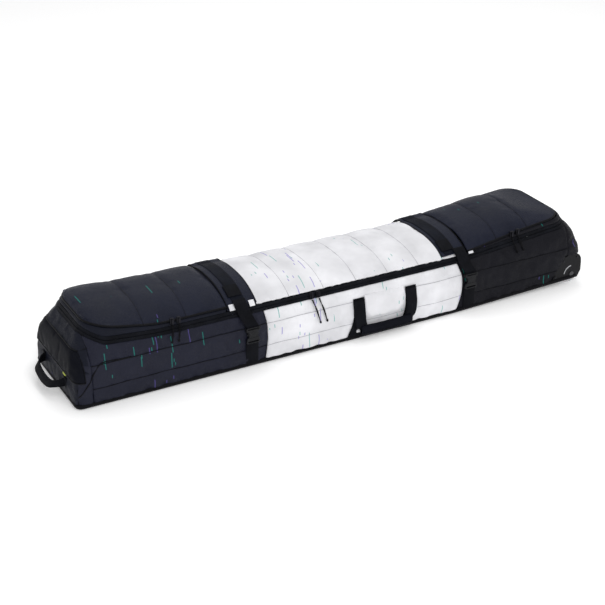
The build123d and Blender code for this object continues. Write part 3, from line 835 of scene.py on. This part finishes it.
# The far panels take the painted-shade copy of the charcoal print.
PANELS = {"near": (END_CUTS[0], NEAR_BORDER, CHARCOAL), "middle": (NEAR_BORDER, FAR_BORDER, WHITE),
          "far": (FAR_BORDER, END_CUTS[1], CHARCOAL_FAR_PAINTED_SHADE)}
for part, (low, high, look) in PANELS.items():
    side_wall(f"front_{part}_panel", (low, high), FRONT, "front_wall_" + part, look, zip_top)
for part, (low, high, look) in PANELS.items():
    side_wall(f"back_{part}_panel", (low, high), BACK, "back_wall", look, hinge_top)


def end_wall(name, end, node):
    """Padded end, wrapped round both corners; its seams are given at a nominal height of 200."""
    far = end > 0
    start = END_CUTS[1] if far else END_CUTS[0]
    counts = (4, 7, 34)
    tall = 200.0
    seams = (68.0, SEAM_A) if far else (68.0, 112.0, 168.0)
    marks = [0.0] + [s / tall for s in seams] + [1.0]
    fractions, sewn = [], []
    for low, high in zip(marks, marks[1:]):
        fractions += spread(low, high, max(3, round((high - low) * tall / STEP)))[:-1]
        sewn.append(len(fractions))
    fractions.append(1.0)
    rows = []
    for f in fractions:
        row = []
        for i, (x, *rest) in enumerate(end_path(end, 20 + 180 * f, start, counts)):
            z = wall_foot(x) + (zip_top(x) - wall_foot(x)) * f
            row.append((*end_path(end, z, start, counts)[i][:2], z))
        rows.append(row)
    piece = grid(name, rows, flip=not far)
    swell(piece, rows, sewn[:-1], cap=6.0, grow=0.015, seed=end * 0.01)
    if far:
        cut_behind_housings(piece)
    # Painted shade: each end takes a darker copy of the charcoal print.
    look = [CHARCOAL_FAR_PAINTED_SHADE, LINING] if far else [CHARCOAL_END_PAINTED_SHADE, LINING, CHARCOAL]
    piece_on(piece, "tub", node, "charcoal_fabric", look)
    if not far:
        # Painted shade: faces turned to the front or back keep the front's charcoal, faces turned to the end
        # take the darker end copy.
        for face in piece.data.polygons:
            face.material_index = 2 if abs(face.normal.y) > 0.8 else 0
    thicken(piece, 7.0, LINING)


def cut_behind_housings(piece):
    """Open the fabric where the wheel housings stand in the bottom corners."""
    shape = bmesh.new()
    shape.from_mesh(piece.data)
    middles = [(f, f.calc_center_median()) for f in shape.faces]
    gone = [f for f, middle in middles if abs(middle.y) > 124 * MM and middle.z < 104 * MM]
    bmesh.ops.delete(shape, geom=gone, context="FACES")
    shape.to_mesh(piece.data)
    shape.free()


end_wall("near_end_panel", END_NEAR, "near_end_wall")
end_wall("far_end_panel", END_FAR, "far_end_wall")


def around(level, offset):
    """Closed loop of points round the whole bag: level(x) gives z, offset pushes outwards."""
    counts = (40, 8, 24)
    halves = []
    for end, start in ((END_NEAR, -20.0), (END_FAR, 20.0)):
        points = []
        for i, step in enumerate(end_path(end, level(end), start, counts)):
            z = level(step[0])
            for again in range(2):
                step = end_path(end, z, start, counts)[i]
                z = level(step[0])
            points.append(stand_off(step, z, offset))
        halves.append(points)
    return halves[0][::-1] + halves[1]


def base_strip():
    """Edge of the tarpaulin bottom, which turns up all round."""
    def ripple(x, y):
        return 1.6 * noise.noise(Vector((x * 0.006, y * 0.008, 2.0)))

    under = [(-26, 0.0), (-10, 0.0), (-2.5, 0.8), (1.2, 3.0)]
    profile = under + [(3.4, 6.5), (4.4, 11.0), (3.4, 14.5), (-3.0, 17.0)]
    rows = []
    for offset, height in profile:
        loop = around(lambda x: along(x, BASE_LINE) + height, offset)
        rows.append([(x, y, z + (ripple(x, y) if height > 10 else 0)) for x, y, z in loop])
    piece_on(grid("base_strip", rows, close=True), "tub", "base_panel", "base_fabric", [TARPAULIN])


base_strip()


def floor_sheet(name, low, inset, look, node, slot, crown=0.0, channels=0):
    """Sheet or pad that covers the bottom, clear of the wheel housings."""
    def place(x, t):
        half = front_y(x, 10) - inset
        if x > HOUSING_X - 5:
            wide = HALF_WIDTH - inset
            half = wide - (wide - HOUSING_INNER) * smooth((x - HOUSING_X + 5) / 8)
        pad = crown * (1 - abs(t) ** 6) * (1 - abs(cos(pi * x / channels)) ** 12 if channels else 1.0)
        return (x, half * t, along(x, BASE_LINE) + low + pad)

    piece = sheet(name, spread(END_NEAR + inset, END_FAR - inset, 150), spread(-1, 1, 30), place)
    piece_on(piece, "tub", node, slot, [look])
    return piece


bottom = floor_sheet("base_sheet", 2.4, 6, TARPAULIN, "base_panel", "base_fabric")
thicken(bottom, 2.2, levels=0)
pad = floor_sheet("floor_padding", 9.0, 12.5, LINING, "floor_pad", "lining", crown=5.0, channels=150)
thicken(pad, 2.3, levels=0)


# ---- main zip: two tapes that meet in a fine line ----------------------------------------------
def zip_half(name, body, node, low, high):
    """One tape of the main zip, from low to high above the zip line, with rolled edges."""
    lower = [(low, 0.4), (low + 0.4, 1.6), (low + 2.0, 1.9), ((low + high) / 2, 1.5)]
    profile = lower + [(high - 2.0, 2.0), (high - 0.5, 1.7), (high, 0.5)]
    rows = [around(lambda x: zip_top(x) + rise, proud) for rise, proud in profile]
    ends = (END_CUTS[0] + 6, END_CUTS[1] - 6)
    keep = [i for i, (x, y, z) in enumerate(rows[0]) if y < 60 or not ends[0] <= x <= ends[1]]
    piece = grid(name, [[row[i] for i in keep] for row in rows])
    piece_on(piece, body, node, "zip_tape", [ZIP_CLOTH])
    thicken(piece, 1.4)


zip_half("zip_tape_lower", "tub", "main_zip_lower", 0.0, 9.6)
zip_half("zip_tape_upper", "lid", "main_zip_upper", 10.4, 20.6)


# ---- lid ---------------------------------------------------------------------------------------
def dome(x, t, lift=0.0):
    """Point on the lid's arch: t runs from -1 at the front to 1 at the back."""
    z_edge = eased(x, LID_EDGE)
    z = z_edge + (eased(x, LID_CROWN) - z_edge) * (1 - abs(t) ** 2.6)
    return (x, half_width(z_edge) * t, z + lift)


def nearest(values, target):
    """Index of the value that is closest to the target."""
    return min(range(len(values)), key=lambda k: abs(values[k] - target))


def raised(point, out, up):
    """A point moved outwards from the middle of the bag and up."""
    return Vector(point) + Vector((0, -out if point[1] < 0 else out, up))


def top_panel():
    """White middle of the lid, quilted across, with dark ends under the saddles."""
    seams = [-181, -65, 46, 157, 268]
    white_front, white_back = (-287, 440), (NEAR_BORDER, FAR_BORDER)
    marks = [-381, -287] + seams + [356, 445]
    columns = []
    for low, high in zip(marks, marks[1:]):
        columns += spread(low, high, max(2, round((high - low) / STEP)))[:-1]
    columns.append(marks[-1])
    sewn = [nearest(columns, s) for s in seams]
    turns = [sin(pi / 2 * t) for t in spread(-1, 1, 44)]
    rows = [[dome(x, t) for x in columns] for t in turns]
    piece = grid("lid_top", rows)
    under = [k for k, x in enumerate(columns) if x < -290 or x > 358]
    swell(piece, rows, (), sewn + under, cap=6.5, grow=0.016, seed=4.0)
    piece_on(piece, "lid", "lid_middle_panel", "white_fabric", [WHITE, LINING, CHARCOAL])
    for face in piece.data.polygons:
        middle = face.center.x / MM
        low, high = white_back if face.center.y > 100 * MM else white_front
        face.material_index = 0 if low < middle < high else 2
    thicken(piece, 7.0, LINING)
    for k in sewn:
        line = [raised(row[k], 0.5, 1.0) for row in rows]
        piping(f"lid_quilting_{k}", line, 0.7, "lid", STITCH, "white_fabric")


top_panel()


def flap(pocket, outer, inner, edge, crown, seams, radius):
    """Pocket flap: domed, quilted across, with round outer corners and a rolled end."""
    name, body = pocket + "_flap_top", pocket + "_flap"
    sign = 1 if outer < inner else -1
    rounding = [radius * (1 - cos(a)) for a in spread(0, pi / 2, 10)]
    flat = [outer + sign * d for d in rounding]
    stops = [outer + sign * radius] + sorted(seams, reverse=sign < 0) + [inner]
    for low, high in zip(stops, stops[1:]):
        flat += spread(low, high, max(2, round(abs(high - low) / STEP)))[1:]
    columns = flat if sign > 0 else flat[::-1]

    def shape(x, t):
        into = abs(x - outer)
        back = abs(x - inner)
        draw = 0.0 if into >= radius else radius - sqrt(max(0.0, radius ** 2 - (radius - into) ** 2))
        z_edge = eased(x, edge)
        half = half_width(z_edge) - draw
        roll = sqrt(max(0.0, 1 - (1 - min(1.0, into / 46)) ** 2))
        roll *= 0.88 + 0.12 * smooth(back / 12)
        z = z_edge + (eased(x, crown) - z_edge) * (1 - abs(t) ** 3.0) * roll
        return (x, half * t, z + 2.0)

    turns = [sin(pi / 2 * t) for t in spread(-1, 1, 42)]
    rows = [[shape(x, t) for x in columns] for t in turns]
    piece = grid(name, rows)
    sewn = [nearest(columns, s) for s in seams]
    swell(piece, rows, (), sewn, pressure=2.5, cap=4.5, grow=0.01, seed=len(name))
    # Painted light: the flap takes the copy of the charcoal print toned for lit tops.
    piece_on(piece, body, pocket + "_pocket_flap", "charcoal_fabric", [CHARCOAL_TOP_PAINTED_LIGHT])
    thicken(piece, 7.0, LINING)
    for k in sewn:
        line = [raised(row[k], 0.3, 0.6) for row in rows[1:-1]]
        piping(f"{name}_quilting_{k}", line, 0.9, body)
    end = [row[0 if sign > 0 else -1] for row in rows]
    loop = rows[0][::-sign] + end[1:-1] + rows[-1][::sign]
    piping(name + "_piping", [raised(p, 0, -1.5) for p in loop], 3.4, body)
    piping(name + "_zip_edge", [raised(p, 0, -7.5) for p in loop], 2.4, "lid", ZIP_CLOTH, "zip_tape")


flap("near", -797, -383, NEAR_EDGE, NEAR_CROWN, [-639, -509], 80)
flap("far", 822, 449, FAR_EDGE, FAR_CROWN, [561, 681], 60)


def gusset(pocket, end, start, edge, inner):
    """Side band of a lid pocket round its outer end, with the inner end closed."""
    name, node = pocket + "_gusset_band", pocket + "_pocket_gusset"
    counts = (46, 10, 26)
    middle = 205.0
    rows = []
    for f in spread(0, 1, 6):
        row = []
        for i in range(len(end_path(end, middle, start, counts))):
            z = middle
            for again in range(3):
                step = end_path(end, z, start, counts)[i]
                x, y = step[:2]
                low = zip_top(x) + ZIP_TAPE if y < 0 else back_seam(x) + 1
                z = low + (eased(x, edge) - 3 - low) * f
            row.append(stand_off(step, z, 2.5 * sin(pi * f)))
        rows.append(row)
    piece = grid(name, rows, flip=end < 0)
    # Painted shade: each gusset takes the darker copy of the charcoal print for its end.
    look = CHARCOAL_END_PAINTED_SHADE if end < 0 else CHARCOAL_FAR_PAINTED_SHADE
    piece_on(piece, "lid", node, "charcoal_fabric", [look])
    thicken(piece, 6.0, LINING)
    half = half_width(eased(inner, edge)) - 9
    low, high = zip_top(inner) + ZIP_TAPE, eased(inner, edge) - 1
    wall = soft_box(name + "_inner_end", (inner, -half, low), (inner + 5, half, high), 1.5)
    piece_on(wall, "lid", node, "charcoal_fabric", [look])


gusset("near", END_NEAR, -386, NEAR_EDGE, -390)
gusset("far", END_FAR, 452, FAR_EDGE, 450)


def pocket_floor(name, span, node):
    """Lining between a lid pocket and the main compartment."""
    def place(x, t):
        z = zip_top(x) + ZIP_TAPE - 1
        sag = 1.5 * (1 - t * t)
        return (x, (front_y(x, z) - 10.5) * t, z - sag)

    piece = sheet(name, spread(*span, 60), spread(-1, 1, 16), place)
    piece_on(piece, "lid", node, "lining", [LINING])
    thicken(piece, 2.0, levels=0)


pocket_floor("near_pocket_sheet", (-792, -392), "near_pocket_floor")
pocket_floor("far_pocket_sheet", (454, 826), "far_pocket_floor")


# ---- saddles, keepers, straps and buckles ------------------------------------------------------
def back_hump(t):
    """The saddles stand up where they pass over the hinge's fold."""
    return 8.0 * sin(pi * min(1.0, max(0.0, (t - 0.60) / 0.36)))


def over_lid(name, span, reach, lift, look, node=(), slot="black_webbing", hump=1.0, puff=0.0, thick=2.0,
             columns=8):
    """Band that lies over the lid, from x to x in span and from t to t in reach."""
    def place(x, t):
        f = (x - span[0]) / (span[1] - span[0])
        return dome(x, t, lift + hump * back_hump(t) + puff * sin(pi * f) ** 0.6)

    piece = sheet(name, spread(*span, columns), spread(*reach, 40), place)
    piece_on(piece, "lid", node, slot, [look])
    thicken(piece, thick)


SADDLES = {"near": (-379.0, -287.0), "far": (356.0, 443.0)}
STRAP_OVER = {"near": -339.0, "far": 388.0}
KEEPERS = {"near": ((-365, -321), (-0.82, -0.55)), "far": ((363, 407), (-0.90, -0.62))}
SADDLE_REACH = (-0.985, 0.985)
for end, span in SADDLES.items():
    # Painted light: the saddle cloth takes the copy of the charcoal print toned for lit tops.
    over_lid(end + "_saddle_cloth", span, SADDLE_REACH, 5.0, CHARCOAL_TOP_PAINTED_LIGHT, end + "_saddle", "charcoal_fabric",
             puff=1.5, thick=2.4, columns=10)
    for x in span:
        edge = [dome(x, t, 4.2 + back_hump(t)) for t in spread(*SADDLE_REACH, 50)]
        piping(f"{end}_saddle_edge_{round(abs(x))}", edge, 1.7, "lid")
    web = (STRAP_OVER[end] - 20, STRAP_OVER[end] + 20)
    over_lid(end + "_strap_top", web, (-0.97, 0.97), 7.4, STRAP_NAVY, thick=1.8, columns=4)
    over_lid(end + "_keeper", *KEEPERS[end], 9.2, WEBBING, "saddle_keepers", hump=0.0, puff=1.4)

for k, x in enumerate((-366.0, -302.0, 460.5)):
    lie = [(-155.5, 190.0), (-154.0, 193.5), (-150.0, 197.5), (-146.0, 201.5), (-143.0, 204.0)]
    tab = ribbon(f"white_tab_{k}", spline_points([(x, y, z) for y, z in lie], 4), 8.5, 1.8, (1, 0, 0))
    piece_on(tab, "lid", "white_strap_tabs", "white_trim", [PLAIN_WHITE])


def strap(end):
    """Compression strap: from the saddle down over the edge to the buckle's bar."""
    mid = BUCKLE_X[end]
    lean = STRAP_TOP_X[end] - mid
    upper = [(1, -138, 212), (1, -150, 204.5), (0.9, -160.5, 192), (0.7, -168, 174), (0.35, -175, 154),
             (0, -179.8, 137), (0, -179.0, 132)]
    line = [(mid + lean * f, y, z) for f, y, z in upper]
    strip(end + "_strap_web", line, 20.0, 2.2, "lid", end + "_strap_upper")
    foot = (-170.5, along(mid, BASE_LINE) + 5)
    lower = [(-176.5, 93), (-177.5, 84), (-176.0, 74), (-174.8, 45), (-172.5, 12), foot]
    strip(end + "_lower_web", [(mid, y, z) for y, z in lower], 20.0, 2.0, "tub", "lower_straps")


def mirror(points, mid):
    """Close a half outline by its mirror image."""
    half = [(0.01, points[0][1])] + points + [(0.01, points[-1][1])]
    return [(mid + x, z) for x, z in half] + [(mid - x, z) for x, z in half[::-1]]


def buckle(end):
    """Side-release buckle: socket with open sides and a bar, tongue with two sprung arms."""
    mid = BUCKLE_X[end]
    socket, tongue = end + "_buckle_socket", end + "_buckle_tongue"
    waist = [(13, 104), (15, 106), (14, 111), (13.5, 117), (16, 122)]
    body = mirror(waist + [(22, 127), (23, 132), (21, 136)], mid)
    slot = mirror([(17.5, 129.5), (17.5, 132.5)], mid)
    plastic(plate(end + "_socket_front", body, -183.6, 2.6, 0.7, (slot,)), "lid", socket)
    plastic(plate(end + "_socket_back", body, -174.2, 2.4, 0.7, (slot,)), "lid", socket)
    ridge = [(0.01, 110), (6, 110.5), (9, 114), (7, 121), (0.01, 123.5)]
    ridge = [(mid + x, z) for x, z in ridge] + [(mid - x, z) for x, z in ridge[::-1]]
    plastic(plate(end + "_socket_ridge", ridge, -184.8, 1.8, 0.6), "lid")
    half_arm = [(9, 100), (9.5, 112), (12, 119), (15, 119.5), (19.5, 114), (18.5, 110.5), (15.5, 112),
                (14, 100)]
    for side in (-1, 1):
        post = mid + side * 19.5
        low, high = (post - 2, -184.5, 122), (post + 2, -175.5, 135)
        plastic(soft_box(f"{end}_socket_post_{side + 1}", low, high, 1.0), "lid")
        arm = [(mid + side * x, z) for x, z in half_arm]
        plastic(plate(f"{end}_tongue_arm_{side + 1}", arm, -180.4, 3.2, 0.7), end + "_tongue", tongue)
    outline = mirror([(17, 84), (21, 86), (22, 90), (20, 97), (18, 103)], mid)
    window = mirror([(16.5, 87.5), (16.5, 91.5)], mid)
    plastic(plate(end + "_tongue_plate", outline, -178.6, 6.0, 1.2, (window,)), end + "_tongue", tongue)


for end in ("near", "far"):
    strap(end)
    buckle(end)

# ---- carry handle ------------------------------------------------------------------------------
for k, x in enumerate(HANDLE_LEGS):
    sewn = [(0, -171.6, 139), (0.5, -173.8, 120), (1.5, -175.2, 95), (1, -175.0, 70), (-4, -173.8, 45),
            (-11, -172.6, 24), (-15, -172.0, 8), (-16, -171.0, 3)]
    line = [(x + dx, y, z) for dx, y, z in sewn]
    flare = [19.0 + 3.5 * smooth((60 - p.z) / 45) for p in spline_points(line, 6)]
    strip(f"handle_band_{k}", line, flare, 2.0, "tub", "handle_bands")
    lean = 1 if k == 0 else -1
    line = [(x, -174.8, 133), (x + 0.5, -178.5, 112), (x + 1.5, -181.5, 88), (x + 1 + lean * 2, -184.0, 64),
            (x + lean * 8, -186.0, 46), (x + lean * 22, -187.5, 37)]
    strip(f"handle_leg_{k}", line, 19.0, 2.2, "carry_handle", "carry_handle_strap", steps=8)


def handle_pad():
    """Puffy padded patch between the handle's legs, with round lower corners."""
    low, high, x0, x1, radius = 62.0, 143.0, 66.0, 208.0, 26.0
    rows = []
    for z in spread(low, high, 26):
        into = max(0.0, low + radius - z)
        inset = radius - sqrt(max(0.0, radius ** 2 - into ** 2))
        row = []
        for x in spread(x0 + inset, x1 - inset, 36):
            fx = abs(2 * (x - (x0 + x1) / 2) / (x1 - x0 - 2 * inset))
            fz = abs(2 * (z - (low + high) / 2) / (high - low))
            height = (max(0.0, 1 - fx ** 4) * max(0.0, 1 - fz ** 4)) ** 0.5
            row.append((x, -half_width(z) - 1.5 - 7.5 * height, z))
        rows.append(row)
    piece = grid("front_pad", rows)
    swell(piece, rows, pressure=1.5, cap=3.0, grow=0.02, seed=9.0)
    piece_on(piece, "tub", "handle_pad", "white_fabric", [WHITE])
    thicken(piece, 1.4)


handle_pad()


def grip():
    """Padded sleeve folded round the handle's webbing and closed along its lower edge."""
    x0, x1 = 47.0, 228.0
    outer = [(0, 15.5), (-5.5, 13.5), (-8.5, 7), (-9, 0), (-8, -8), (-4.5, -14)]
    section = outer + [(1.5, -16), (6, -13), (8.5, -5), (8.5, 5), (6, 12.5)]

    def place(x, point):
        dy, dz = point
        f = (x - x0) / (x1 - x0)
        ends = min(1.0, min(f, 1 - f) * 22)
        size = 0.72 + 0.28 * sqrt(ends)
        sag = -2.5 * sin(pi * f)
        wave = 1 + 0.04 * noise.noise(Vector((x * 0.05, dy * 0.2, dz * 0.1)))
        return (x, -187.5 + dy * size * wave, 34.5 + sag + dz * 1.12 * size * wave)

    piece = sheet("grip_sleeve", spread(x0, x1, 44), section + section[:1], place, flip=True)
    piece_on(piece, "carry_handle", "carry_handle_grip", "black_webbing", [BLACK_CLOTH])
    thicken(piece, 2.0)
    seam = [(x, -196.4, 27 - 2.5 * sin(pi * (x - x0) / (x1 - x0))) for x in spread(x0 + 4, x1 - 4, 40)]
    piping("grip_seam", seam, 0.9, "carry_handle")


grip()

# ---- near end: padded band, haul handle and tab ------------------------------------------------
LOW_LINE, HIGH_LINE = 83.0, 163.0
BAND_END = -828


def end_padding():
    """Padded dark band across the near end, between its two piped lines, round to both corners."""
    rows = []
    for z in spread(LOW_LINE, HIGH_LINE, 12):
        path = end_path(END_NEAR, z, BAND_END, (1, 9, 40))
        f = (z - LOW_LINE) / (HIGH_LINE - LOW_LINE)
        row = []
        for k, step in enumerate(path):
            g = abs(2 * k / (len(path) - 1) - 1)
            proud = 1.0 + 4.5 * sqrt(max(0.0, 1 - abs(2 * f - 1) ** 4)) * sqrt(max(0.0, 1 - g ** 10))
            row.append(stand_off(step, z, proud))
        rows.append(row)
    band = grid("near_end_padding", rows, flip=True)
    swell(band, rows, pressure=1.5, cap=3.0, grow=0.015, seed=6.0)
    piece_on(band, "tub", "near_end_pad", "black_webbing", [BLACK_CLOTH])
    thicken(band, 2.0)


end_padding()

tab = soft_box("lime_tab", (-860.5, -92, 74), (-857, -72, 80.5), 1.2)
piece_on(tab, "tub", "end_tab", "lime_trim", [LIME])

arc = [(-858, -84, 54), (-866, -83, 53), (-882, -76, 49), (-895, -58, 43), (-899, -22, 40), (-898, 18, 41),
       (-894, 52, 45), (-882, 73, 50), (-866, 81, 53), (-858, 82, 54)]
turn = [smooth(1.6 * (1 - abs(t))) for t in spread(-1, 1, len(spline_points(arc, 7)) - 1)]
leaning = [(0.62 * t, 0, 1.0 - 0.2 * t) for t in turn]
strip("haul_loop_web", arc, [14.0 - 1.5 * t for t in turn], 4.2, "haul_loop", "haul_handle", 7, leaning)
for side in (FRONT, BACK):
    foot = soft_box(f"haul_foot_{side + 1}", (-862, side * 88 - 12, 38), (-857.5, side * 88 + 12, 70), 1.6)
    piece_on(foot, "tub", "haul_handle_anchors", "black_webbing", [WEBBING])


# ---- seams and piping --------------------------------------------------------------------------
def near_arch_line():
    """The front's upper seam turns down round the near corner to the base."""
    knots = [(-690, 131), (-735, 133), (-762, 135), (-785, 129), (-802, 107), (-814, 84), (-828, 65),
             (-843, 48), (-851, 40)]
    line = spline_points([(x, 0, z) for x, z in knots], 6)
    return [(x, -front_y(x, z) - 1.2, z) for x, y, z in line]


piping("near_corner_piping", near_arch_line(), 2.0)


def side_line(side, low, high, proud):
    """Nine points on a long side between two points given in x and z."""
    places = [(low[0] + (high[0] - low[0]) * t, low[1] + (high[1] - low[1]) * t) for t in spread(0, 1, 8)]
    return [(x, side * (front_y(x, z) + proud), z) for x, z in places]


for name, z, radius, lift in (("ridge", HIGH_LINE, 2.4, 1.8), ("low_line", LOW_LINE, 2.2, 1.6)):
    path = end_path(END_NEAR, z, BAND_END, (1, 8, 30))
    piping("near_end_" + name, [stand_off(step, z, lift) for step in path], radius)
for side in (FRONT, BACK):
    corner = (BAND_END, HIGH_LINE)
    piping(f"near_band_end_{side + 1}", side_line(side, (BAND_END, LOW_LINE), corner, 1.0), 1.6)
    shoulder = (BAND_END + 46, HIGH_LINE + 22)
    piping(f"near_shoulder_seam_{side + 1}", side_line(side, corner, shoulder, 0.6), 1.2)
    foot = [(END_NEAR + 5.5, side * 164.5, z) for z in spread(16, LOW_LINE - 18, 6)]
    piping(f"near_corner_edge_{side + 1}", foot, 1.6)


# ---- floor, light and view ---------------------------------------------------------------------
def studio():
    """Pale floor, even light from all round and two large soft lamps."""
    shade = Shade("floor", (0.97, 0.97, 0.97), 0.85)
    cloudy = shade.noise(shade.place(), 0.6)[0]
    shade.paint(shade.ramp(cloudy, [(0.3, (0.965, 0.965, 0.97)), (0.7, (0.975, 0.975, 0.975))]))
    far = 30000
    corners = [(-far, -far, 0), (far, -far, 0), (far, far, 0), (-far, far, 0)]
    ground = mesh_object("floor", corners, [(0, 1, 2, 3)])
    shade.shader.inputs["Emission Color"].default_value = (1, 1, 1, 1)
    shade.shader.inputs["Emission Strength"].default_value = 0.22
    ground.data.materials.append(shade.material)
    ground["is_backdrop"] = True
    world = bpy.data.worlds.new("studio")
    bpy.context.scene.world = world
    world.use_nodes = True
    world.node_tree.nodes["Background"].inputs[0].default_value = (1, 1, 1, 1)
    world.node_tree.nodes["Background"].inputs[1].default_value = 0.62
    for name, place, size, power in (("key", (-0.4, -3.2, 3.4), 3.0, 62), ("over", (0.8, 1.4, 3.4), 3.0, 46)):
        data = bpy.data.lights.new(name, "AREA")
        data.energy, data.size = power, size
        lamp = add_object(name, data)
        lamp.location = place
        lamp.rotation_euler = (Vector((0, 0, 0.1)) - Vector(place)).to_track_quat("-Z", "Y").to_euler()
    bpy.context.scene.view_settings.view_transform = "Standard"


studio()

[[list(corner) for corner in box] for box in (CAD_BOX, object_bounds())]
